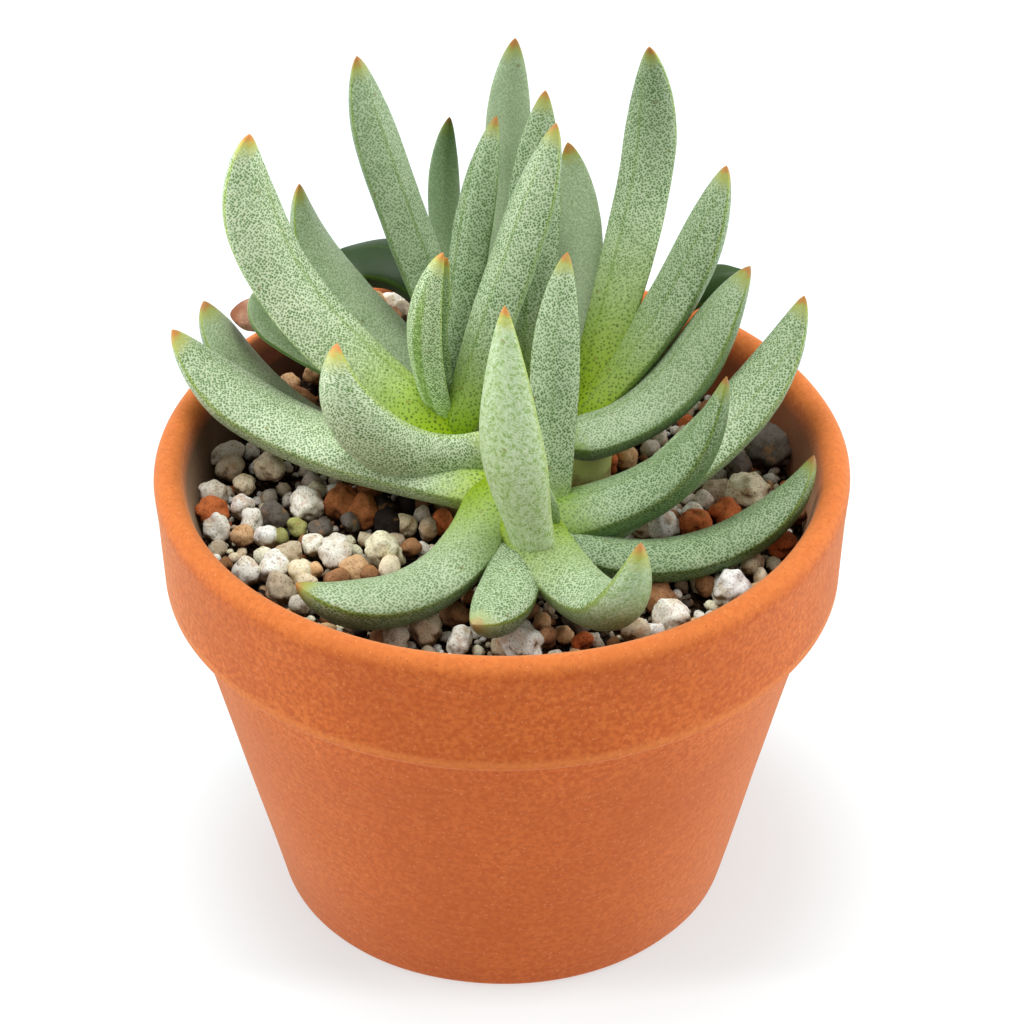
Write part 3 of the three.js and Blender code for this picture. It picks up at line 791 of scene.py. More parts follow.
# %% Stones placed one by one
GRIT_TOP = 65.9
STONE_SWELL = 1.2
CHOSEN = [
    (-42, 12.5, 3.9, "grey"), (-41.5, 9, 4.4, "stone"), (-35.5, 9, 4.8, "cream"),
    (-39, 4.5, 3.6, "cream"), (-39, -1, 3.8, "white"), (-43.5, 2.5, 3.8, "grey"),
    (-43.5, -2, 3.7, "lava"), (-42.5, -6.5, 3.3, "white"), (-34, -3.5, 3.6, "dark"),
    (-37.5, -4.5, 3, "white"), (-29.5, -0.5, 5, "white"), (-30.5, -6, 2.8, "olive"),
    (-35, -8.5, 3.4, "white"), (-33, -8.5, 2.2, "olive"), (-38.5, -8, 3.2, "tan"),
    (-31.5, -12.5, 3.8, "stone"), (-28, -10.5, 3, "white"), (-24.5, -12.5, 4.8, "white"),
    (-27, -6.5, 3.2, "dark"), (-24, -0.5, 4.8, "bark"), (-20.8, -2.3, 4.0, "bark"),
    (-17.5, -12.5, 4.5, "olivewhite"), (-14.5, -5.5, 3, "cream"), (-12, -3, 3, "grey"),
    (-11, -6.5, 3, "stone"), (-9, -5, 3, "lava"), (-13.5, -11, 2.8, "brown"),
    (-16.5, -16.5, 3.5, "cream"), (-29.5, -17.5, 3.3, "cream"), (-27.5, -16.5, 2.1, "tan"),
    (-33.5, -16.5, 3.8, "white"), (-37.5, -17.5, 4.2, "white"), (-21.5, -16.5, 3.5, "tan"),
    (-19.5, -17.5, 2.4, "brown"), (-24, -19, 3, "brown"), (-28.5, -20, 2.6, "cream"),
    (-32.5, -21.5, 4, "stone"), (-29.5, -25, 2.8, "grey"), (-7, -27.5, 3.8, "brown"),
    (-11, -31, 4.4, "stone"), (-15, -33, 3.6, "grey"), (-6, -34, 3.8, "white"),
    (-5, -23, 2.1, "brown"), (0, -35, 3, "cream"), (3, -34.5, 5.6, "white"),
    (6.5, -33, 3.2, "brown"), (11.5, -34, 2.6, "lava"), (19.5, -31.5, 3.6, "stone"),
    (23, -24, 3.8, "brown"), (22, -31, 2.2, "white"), (24.5, -28.5, 4, "white"),
    (25.5, -22.5, 1.8, "white"), (33.5, -22, 5, "white"), (36.5, -16, 2.6, "cream"),
    (38, -18, 2.1, "cream"), (30, -20.5, 2.6, "brown"), (24, -6, 4, "white"),
    (21, -6.5, 2.8, "stone"), (29, -5.5, 4.3, "lava"), (28.5, -2, 2.6, "white"),
    (33.5, -2.5, 3.8, "lava"), (37, 2.5, 5.2, "cream"), (32.5, 3.5, 3.2, "stone"),
    (30.5, 1, 2.4, "grey"), (40.5, 14, 5.6, "dark"), (36, 9, 4, "dark"),
    (41.5, -10, 3.9, "lava"), (44, -3, 2.8, "brown"), (16, 10.5, 3.4, "lava"),
    (19, 12, 3.3, "tan"), (21.5, 36, 3, "stone"), (23, 37.5, 3, "stone"),
    (-17.5, -1.5, 4.2, "black"), (-14.5, -0.5, 3.8, "black"), (-17, -5.5, 3.8, "black"),
    (-20.5, 1.5, 3.6, "bark"), (-22.5, -5, 2.6, "dark"), (-12.5, 0, 3, "brown"),
    (-29, 29, 3.6, "tan"), (-25, 27, 4, "stone"), (-31.5, 25, 3.8, "brown"), (-27, 33, 3.6, "dark"),
    (-22, 30, 4, "cream"), (-33, 29, 3, "tan"),
    (-17, 42, 4.6, "white"), (-13.5, 41.5, 4, "cream"), (-15.5, 38.5, 4.2, "stone"),
    (-20, 39.5, 3.6, "tan"), (-11, 38, 3.4, "white"), (-17.5, 35.5, 3.4, "brown"),
]
rng = np.random.default_rng(20417)


def random_turns(count):
    return rng.uniform(0, 2 * math.pi, (count, 3))


def random_stretch(count, spread=0.18):
    return rng.uniform(1 - spread, 1 + spread, (count, 3)) * np.array([1.0, 1.0, 0.92])


def tinted(kinds, spread=0.12):
    base = np.array([STONE_COLOURS[k] for k in kinds])
    shade = rng.uniform(1 - spread, 1 + spread, (len(kinds), 1))
    base[:, :3] = np.clip(base[:, :3] * shade, 0, 1)
    return base


chosen_places = [(x, y, GRIT_TOP + 0.15 * (d - 3) + heap(x, y)) for x, y, d, _ in CHOSEN]
chosen_sizes = STONE_SWELL * np.array([[d] for _, _, d, _ in CHOSEN])
show_stones = stones("grit_in_view", chosen_places, chosen_sizes, tinted([s[3] for s in CHOSEN]),
                     random_turns(len(CHOSEN)), random_stretch(len(CHOSEN), 0.22),
                     {"Detail": 4, "Lump depth": 0.22, "Lump size": 2.6, "Pit depth": 0.05,
                      "Pit size": 1.5})
dress(show_stones, "soil", "soil_and_grit")

# %% [markdown]
# ## Loose grit and fine gravel
# Between the chosen stones the bed is full of smaller ones. Places are drawn at random with
# a fixed seed, and a place is kept only if it is clear of the stones already there. That is
# the dart-throwing method, and it gives the even yet irregular spacing of poured grit.

# %% Loose grit and gravel
BED_RADIUS = 44.6
KIND_CHANCES = {"white": 0.3, "cream": 0.2, "grey": 0.14, "stone": 0.12, "tan": 0.07,
                "lava": 0.06, "brown": 0.08, "dark": 0.06, "olive": 0.02, "black": 0.03}


def thrown(count, size_low, size_high, taken, closeness):
    """Places for round stones that keep clear of those in a list."""
    kept = []
    for _ in range(count):
        angle, reach = rng.uniform(0, 2 * math.pi), BED_RADIUS * math.sqrt(rng.uniform())
        size = rng.uniform(size_low, size_high)
        x, y = reach * math.cos(angle), reach * math.sin(angle)
        if math.hypot(x, y) + size / 2 > BED_RADIUS + 0.6:
            continue
        if all(math.dist((x, y), t[:2]) > closeness * (size + t[2]) / 2 for t in taken):
            taken.append((x, y, size))
            kept.append((x, y, size))
    return kept


def scatter(name, kept, lift, detail):
    kinds = rng.choice(list(KIND_CHANCES), len(kept), p=np.array(list(KIND_CHANCES.values()))
                       / sum(KIND_CHANCES.values()))
    places = [(x, y, SOIL_TOP + lift * d + heap(x, y)) for x, y, d in kept]
    sizes = np.array([[d] for _, _, d in kept])
    piece = stones(name, places, sizes, tinted(list(kinds), 0.25), random_turns(len(kept)),
                   random_stretch(len(kept), 0.28),
                   {"Detail": detail, "Lump depth": 0.3, "Lump size": 1.8, "Pit depth": 0.05,
                    "Pit size": 1.3})
    dress(piece, "soil", "soil_and_grit")


taken = [(x, y, d) for x, y, d, _ in CHOSEN]
scatter("grit_loose", thrown(2600, 2.2, 3.4, taken, 0.86), 0.38, 2)
scatter("gravel_fine", thrown(4500, 0.9, 1.8, taken, 0.74), 0.35, 2)

# %% [markdown]
# ## A recipe for a leaf
# Every leaf is the same kind of form: a spine that bends once or twice, a blade that swells
# from the root and narrows to a small point, a nearly flat inner face and a rounded keel
# on the outer one. So one tree makes all thirty. It lays a grid along the spine. The spine
# is a Bezier curve, found by mixing its four control points, then the mixes, and so on.
# A direction across the leaf gives its width, and the cross product with the spine gives
# its thickness. The tree also stores what the finish needs: distances from the root and
# from the tip, how near the margin a point is, and a map whose unit is one millimetre.

# %% Geometry tree: leaf, its spine
LEAF_INPUTS = {"Start": (0.0, 0.0, 0.0), "Handle one": (0.0, 0.0, 0.0), "Handle two": (0.0, 0.0, 0.0),
               "End": (0.0, 0.0, 0.0), "Across": (1.0, 0.0, 0.0), "Width": 8.0, "Thickness": 6.0,
               "Root share": 0.8, "Taper": 0.4, "Rings": 72, "Sides": 44, "Ripple": 0.12,
               "Seed": 0.0, "Shade": 0.0, "Dots": 1.0, "Wax": 0.0, "Warmth": 1.0, "Keel": 0.15,
               "Line": 0.8, "Ridge": 0.0, "Curls": 0.6, "Lime": 9.0, "Finish": None}
CARRIED = ("Shade", "Dots", "Wax", "Warmth", "Keel", "Line", "Ridge", "Curls", "Lime")
RING_BUNCHING = 1.4
INNER_DEPTH, INNER_ROUND, INNER_ROOF, ROOF_SHARPNESS = 0.34, 0.55, 0.45, 1.25
KEEL_DEPTH, KEEL_SHARPNESS = 0.66, 1.15
TIP_ROUNDNESS, TIP_SMALLEST = 0.66, 0.035
ROOT_LENGTH, ROOT_ROUNDNESS = 0.09, 0.6
RIPPLES_PER_MM = 0.16
LEAF_WELD = 0.002


def spine_steps(steps, given, along):
    """Places on the spine, and the direction in which it runs there."""
    first = steps.between(along, given["Start"], given["Handle one"])
    middle = steps.between(along, given["Handle one"], given["Handle two"])
    last = steps.between(along, given["Handle two"], given["End"])
    early, late = steps.between(along, first, middle), steps.between(along, middle, last)
    place = steps.between(along, early, late)
    return place, steps.vector("NORMALIZE", steps.vector("SUBTRACT", late, early))


def share_steps(steps, given, along, open_ring):
    """The part of the full width that the blade has at each ring."""
    times, math_ = steps.times, steps.math

    def rounded(share, roundness):
        quarter = times(math_("MINIMUM", 1.0, share), math.pi / 2)
        return math_("POWER", math_("SINE", quarter), roundness)

    swell = steps.soft(along, 0.0, 0.5, given["Root share"], 1.0)
    narrow = rounded(steps.over(steps.minus(1.0, along), given["Taper"]), TIP_ROUNDNESS)
    rounding = rounded(steps.over(along, ROOT_LENGTH), ROOT_ROUNDNESS)
    share = math_("MAXIMUM", TIP_SMALLEST, times(times(swell, narrow), rounding))
    return times(share, open_ring)


def distance_steps(steps, place, back, group, skip_first):
    """How far each point lies along its row of points, and the length of the whole row."""
    index = steps.add("GeometryNodeInputIndex").outputs[0]
    earlier = steps.add("GeometryNodeFieldAtIndex", {"Index": steps.minus(index, back)},
                        data_type="FLOAT_VECTOR", domain="POINT")
    steps.feed(earlier.inputs["Value"], place)
    step = steps.times(steps.vector("DISTANCE", place, earlier.outputs[0]), skip_first)
    total = steps.add("GeometryNodeAccumulateField", {"Group ID": group}, data_type="FLOAT",
                      domain="POINT")
    steps.feed(total.inputs["Value"], step)
    return total.outputs["Leading"], total.outputs["Total"]


print("leaf inputs:", len(LEAF_INPUTS))

# %% [markdown]
# ## The skin of the leaf
# Round the spine goes one ring of points after another. The ends are single points, where
# the rings have no width, so that welding closes the skin. Above the widest line the
# section is nearly flat, and below it is a keel. The distances that the finish needs are
# found by adding up the steps from point to point with Accumulate Field.

# %% Geometry tree: leaf, its skin
def leaf_tree():
    tree, steps, given, end = geometry_tree("fleshy_leaf", LEAF_INPUTS)
    plus, minus, times, vector = steps.plus, steps.minus, steps.times, steps.vector
    grid, across, ring, column, turn = grid_to_wind(steps, given["Rings"], given["Sides"])
    last = minus(given["Rings"], 3.0)
    run = steps.over(minus(ring, 1.0), last, clamp=True)
    along = minus(1.0, steps.math("POWER", minus(1.0, run), RING_BUNCHING))
    open_ring = times(steps.math("GREATER_THAN", ring, 0.5),
                      steps.math("LESS_THAN", ring, plus(last, 1.5)))
    spine, forward = spine_steps(steps, given, along)
    share = share_steps(steps, given, along, open_ring)
    drift = steps.scaled(forward, vector("DOT_PRODUCT", given["Across"], forward))
    sideways = vector("NORMALIZE", vector("SUBTRACT", given["Across"], drift))
    inward = vector("CROSS_PRODUCT", forward, sideways)
    angle = minus(turn, math.pi / 2)
    cosine, sine = steps.math("COSINE", angle), steps.math("SINE", angle)
    margin = steps.math("ABSOLUTE", cosine)
    half = times(times(given["Width"], 0.5), share)
    deep = times(given["Thickness"], share)
    roof = minus(1.0, steps.math("POWER", margin, ROOF_SHARPNESS))
    inner = times(plus(times(sine, INNER_ROUND), times(roof, INNER_ROOF)), INNER_DEPTH)
    keel = times(steps.math("POWER", steps.math("ABSOLUTE", sine), KEEL_SHARPNESS), -KEEL_DEPTH)
    above = steps.math("GREATER_THAN", sine, 0.0)
    level = plus(times(inner, above), times(keel, minus(1.0, above)))
    flat = vector("ADD", steps.scaled(sideways, times(half, cosine)),
                  steps.scaled(inward, times(deep, level)))
    seed = steps.join(given["Seed"], given["Seed"], 0.0)
    sample = vector("ADD", steps.scaled(vector("ADD", spine, flat), RIPPLES_PER_MM), seed)
    ripple = times(minus(steps.noise(sample, 1.0, 2.0), 0.5), times(given["Ripple"], times(share, 2.0)))
    swollen = vector("ADD", flat, steps.scaled(vector("NORMALIZE", flat), ripple))
    moved = steps.add("GeometryNodeSetPosition", {"Geometry": grid,
                                                  "Position": vector("ADD", spine, swollen)})
    place = steps.add("GeometryNodeInputPosition").outputs[0]
    around, girth = distance_steps(steps, place, 1.0, ring, steps.math("GREATER_THAN", column, 0.5))
    from_root, length = distance_steps(steps, spine, across, column,
                                       steps.math("GREATER_THAN", ring, 0.5))
    skin_map = steps.join(from_root, minus(around, times(girth, 0.5)), 0.0)
    shape = moved.outputs[0]
    kept = {"from_root": from_root, "to_tip": minus(length, from_root), "margin": margin, "side": sine,
            **{label.lower(): given[label] for label in CARRIED}}
    for label, value in kept.items():
        shape = stored(steps, shape, label, value)
    shape = stored(steps, shape, "UVMap", skin_map, "FLOAT2", "CORNER")
    closed = steps.add("GeometryNodeMergeByDistance", {"Geometry": shape, "Distance": LEAF_WELD})
    sized = steps.add("GeometryNodeTransform", {"Geometry": closed.outputs[0], "Scale": (MM,) * 3})
    put_out(steps, sized.outputs[0], given, end)
    return tree


LEAF_TREE = leaf_tree()
print("leaf tree nodes:", len(LEAF_TREE.nodes))

# %% [markdown]
# ## What is drawn on the leaves
# The skin is a pale, waxy mint, crowded with small dark green dots. The dots grow larger
# and stand further apart near the root, where the skin turns lime. A Voronoi texture gives
# one cell to each dot, and a soft threshold of the distance to the cell's centre makes it
# a dot. A noise bends the map first, so that some dots stretch or run together. The map is
# in millimetres, so the dots keep their size on a broad leaf and on a narrow one.

# %% Shared groups: leaf dots and leaf marks
MAP_TURN = 0.6
DRIFT_SCALE, DRIFT_REACH, BEND_SCALE = 0.22, 1.4, 0.8
DOT_RANDOMNESS, DOT_SIZES, DOT_CORE, DOT_RIM = 0.7, (0.7, 1.25), 0.6, 1.4
LINE_SCALE, LINE_WIDTH = 0.62, 0.09
POINT_REACH, TIP_RAGGED, ROOT_RAGGED = (0.3, 1.9), 2.4, 5.0
MARGIN_BAND, KEEL_BAND, MIDLINE_BAND = (0.97, 1.0), (-0.94, -0.99), (0.08, 0.42)
MIDLINE_END = (3.0, 10.0)


def dots_group():
    tree, steps, given, result = shader_group(
        "leaf_dots", {"Vector": (0.0, 0.0, 0.0), "Spacing": 0.42, "Size": 0.36, "Wander": 0.35},
        ["Dots", "Lines"])
    turned_map = steps.add("ShaderNodeVectorRotate", {"Vector": given["Vector"], "Angle": MAP_TURN},
                           rotation_type="Z_AXIS").outputs[0]
    scaled = steps.scaled(turned_map, steps.over(1.0, given["Spacing"]))
    bent = scaled
    for scale, reach in ((DRIFT_SCALE, DRIFT_REACH), (BEND_SCALE, given["Wander"])):
        bend = steps.vector("SUBTRACT", steps.noise(scaled, scale, 1.0, colour=True), (0.5, 0.5, 0.5))
        bent = steps.vector("ADD", bent, steps.scaled(bend, reach))
    cells = steps.cells(bent, 1.0, randomness=DOT_RANDOMNESS, dimensions="2D")
    size = steps.times(given["Size"], steps.range(steps.split(cells["Color"])[0], 0, 1, *DOT_SIZES))
    core, rim = steps.times(size, DOT_CORE), steps.times(size, DOT_RIM)
    steps.feed(result["Dots"], steps.soft(cells["Distance"], core, rim, 1.0, 0.0))
    level = steps.math("ABSOLUTE", steps.minus(steps.noise(scaled, LINE_SCALE, 0.0), 0.5))
    steps.feed(result["Lines"], steps.range(level, 0.0, LINE_WIDTH, 1.0, 0.0))
    return tree


def marks_group():
    """Masks that follow the leaf: its tip, root, margin, midline and outer side."""
    tree, steps, given, result = shader_group(
        "leaf_marks", {"Vector": (0.0, 0.0, 0.0), "Tip length": 3.0},
        ["Tip", "Point", "Root", "Margin", "Midline", "Outer"])
    plus, times = steps.plus, steps.times
    wobble = steps.minus(steps.noise(given["Vector"], 0.7, 2.0), 0.5)

    def ragged(label, reach):
        """A carried value with an uneven edge."""
        return plus(carried(steps, label), times(wobble, reach))

    tip, root = ragged("to_tip", TIP_RAGGED), ragged("from_root", ROOT_RAGGED)
    length, lime, side = given["Tip length"], carried(steps, "lime"), carried(steps, "side")
    steps.feed(result["Tip"], steps.soft(tip, times(length, 0.25), length, 1.0, 0.0))
    steps.feed(result["Point"], steps.soft(tip, *POINT_REACH, 1.0, 0.0))
    steps.feed(result["Root"], steps.soft(root, times(lime, 0.15), times(lime, 1.6), 1.0, 0.0))
    steps.feed(result["Margin"], steps.soft(ragged("margin", 0.03), *MARGIN_BAND))
    shifted = steps.minus(steps.split(given["Vector"])[1], carried(steps, "ridge"))
    off = steps.math("ABSOLUTE", plus(shifted, times(wobble, 0.5)))
    line = steps.soft(off, *MIDLINE_BAND, carried(steps, "line"), 0.0)
    inner = times(line, steps.range(side, 0.05, 0.3))
    back = steps.soft(ragged("side", 0.03), *KEEL_BAND, 0.0, carried(steps, "keel"))
    reach = steps.range(carried(steps, "to_tip"), *MIDLINE_END)
    steps.feed(result["Midline"], times(steps.math("MAXIMUM", inner, back), reach))
    steps.feed(result["Outer"], steps.range(side, -0.1, 0.1, 1.0, 0.0))
    return tree


DOTS, MARKS = dots_group(), marks_group()
print("leaf groups:", DOTS.name, MARKS.name)

# %% [markdown]
# ## Leaf finishes
# Three finishes share those groups. The common one is the pale dotted mint. The young
# leaves are greener and more finely dotted, and the two leaves at the back have a finish
# that is painted dark and smooth, as shade. Each leaf also has its own painted shade,
# which grows stronger where its skin faces down. Thin flesh lets some light through, so
# each has a little subsurface scattering, and the waxy skin has a soft, wide highlight.

# %% Leaf finishes
LEAF_FLESH, FLESH_RADIUS = 0.12, (0.8, 1.2, 0.4)
WORN, WORN_LINES = paint(166, 200, 116), paint(232, 248, 214)
LIME_MARGIN, LIME_MIDLINE, ROOT_DOT = paint(178, 200, 76), paint(168, 200, 72), paint(78, 114, 4)
TIP_YELLOW, POINT_ORANGE, SCAR = paint(200, 200, 70), paint(234, 140, 76), paint(150, 140, 60)
TIP_LENGTH, TIP_STRENGTH = 4.2, 0.85
DOT_SIZE, ROOT_SPACING, ROOT_SIZE = 0.36, 1.7, 0.66
SHADE = (0.2, 0.29, 0.17, 1.0)


def leaf_finish(name, pale, dark, lime, spacing=0.42, dot_strength=0.96):
    material, steps, shader, mm = finish(name, roughness=0.5, specular=0.4)
    times, to_tip = steps.times, carried(steps, "to_tip")
    skin = steps.add("ShaderNodeUVMap", uv_map="UVMap").outputs[0]
    marks = use(steps, MARKS, {"Vector": skin, "Tip length": TIP_LENGTH})
    clouds, freckles = mottled(steps, mm, 5.0, 2.6), mottled(steps, skin, 0.9, 3.4)
    small = use(steps, DOTS, {"Vector": skin, "Spacing": spacing, "Size": DOT_SIZE, "Wander": 0.35})
    large = use(steps, DOTS, {"Vector": skin, "Spacing": spacing * ROOT_SPACING,
                              "Size": DOT_SIZE * ROOT_SIZE, "Wander": 0.3})

    # the ground under the dots
    waxy = times(marks["Outer"], carried(steps, "wax"))
    curly = times(carried(steps, "curls"), steps.soft(to_tip, 8.0, 30.0, 1.0, 0.15))
    near_tip = steps.soft(to_tip, 4.0, 24.0, 0.9, 0.45)
    pale_coat = steps.coats(pale, [(steps.range(freckles, 0.2, 0.9, 0.4, 1.0), WORN),
                              (small["Lines"], WORN_LINES)])
    ground = steps.coats(steps.mix(clouds, steps.mix(0.22, pale, dark), pale), [
        (times(curly, 0.5), steps.mix(0.42, pale, dark)),
        (times(curly, small["Lines"]), pale),
        (waxy, pale_coat),
        (marks["Root"], lime),
        (times(marks["Margin"], near_tip), LIME_MARGIN),
        (times(marks["Midline"], 0.6), LIME_MIDLINE)])

    # how strong the dots are
    dots = steps.add("ShaderNodeMix", data_type="FLOAT")
    for index, item in ((0, marks["Root"]), (2, small["Dots"]), (3, large["Dots"])):
        steps.feed(dots.inputs[index], item)
    lean = mottled(steps, skin, 3.0, 2.4)
    amount = dots.outputs[0]
    for part in (steps.range(lean, 0, 1, dot_strength * 0.65, dot_strength), carried(steps, "dots"),
                 steps.range(waxy, 0, 1, 1.0, 0.15), steps.range(marks["Tip"], 0, 1, 1.0, 0.1)):
        amount = times(amount, part)
    line = times(marks["Midline"], steps.range(freckles, 0.4, 0.75, 0.0, 0.7))
    amount = steps.math("MAXIMUM", amount, line)

    # dots, tip and scars over the ground
    warm = times(carried(steps, "warmth"), TIP_STRENGTH)
    specks = steps.range(steps.cells(skin, 0.16, dimensions="2D")["Distance"], 0.03, 0.06, 0.6, 0.0)
    chance = steps.range(steps.noise(skin, 0.16, 1.0), 0.54, 0.62)
    colour = steps.coats(ground, [
        (amount, steps.mix(marks["Root"], dark, ROOT_DOT)),
        (times(marks["Tip"], warm), TIP_YELLOW),
        (times(marks["Point"], warm), POINT_ORANGE),
        (times(specks, chance), SCAR)])

    # shade, stronger on the underside
    facing = steps.split(steps.add("ShaderNodeNewGeometry").outputs["Normal"])[2]
    under = steps.soft(facing, 0.5, -0.6, 1.0, 1.8)
    shade = steps.mix(times(carried(steps, "shade"), under, clamp=True), (1, 1, 1, 1), SHADE)
    steps.feed(shader.inputs["Base Color"], steps.mix(1.0, colour, shade, "MULTIPLY"))
    for label, value in (("Weight", LEAF_FLESH), ("Radius", FLESH_RADIUS), ("Scale", MM)):
        shader.inputs["Subsurface " + label].default_value = value
    bumped(steps, shader, steps.minus(clouds, times(amount, 0.5)), 0.25, 0.12)
    return material


LEAF_FINISHES = {
    "leaf": leaf_finish("leaf", paint(238, 252, 216), paint(76, 128, 26), paint(172, 204, 4)),
    "young_leaf": leaf_finish("young_leaf", paint(234, 250, 208), paint(74, 124, 26),
                              paint(150, 190, 4), spacing=0.38),
    # a copy of the leaf finish painted dark, as shade, for the leaves at the back
    "dark_leaf": leaf_finish("dark_leaf", paint(96, 126, 68), paint(70, 98, 48), paint(104, 132, 60),
                             dot_strength=0.35),
}
print("leaf finishes:", ", ".join(LEAF_FINISHES))

# %% [markdown]
# ## The dry leaf
# One old leaf at the back left has dried out. It has no dots and no wax. Its skin is a dull
# pinkish brown, and a rough height makes it look shrunken and wrinkled.

# %% Dry leaf finish
def dry_finish():
    material, steps, shader, mm = finish("dry_leaf", roughness=0.8, specular=0.3)
    marks = use(steps, MARKS, {"Vector": mm, "Tip length": 4.0})
    patches = mottled(steps, mm, 3.0, 2.4)
    colour = steps.mix(patches, paint(176, 122, 96), paint(212, 172, 146))
    steps.feed(shader.inputs["Base Color"], steps.mix(marks["Tip"], colour, paint(150, 92, 64)))
    grain = use(steps, GRAIN, {"Vector": mm, "Grain": 0.6, "Pits": 1.5, "Pit depth": 0.6})
    bumped(steps, shader, steps.plus(grain["Height"], patches), 0.8, 0.4)
    return material


LEAF_FINISHES["dry_leaf"] = dry_finish()
print("finish:", LEAF_FINISHES["dry_leaf"].name)

# %% [markdown]
# ## The leaves
# Each entry holds one leaf: the direction its outer side faces in degrees, its width and
# thickness, how wide it is at the root, how long its taper is, and four points that its
# spine passes through at its start, at its thirds and at its end. Points on a curve are
# easier to think about than handles, so the script finds the handles from the points.
# The last part says how the skin differs from the usual one: how shaded it is, how far
# the lime runs up from the root, how strong its dots, pale lines and midline are.

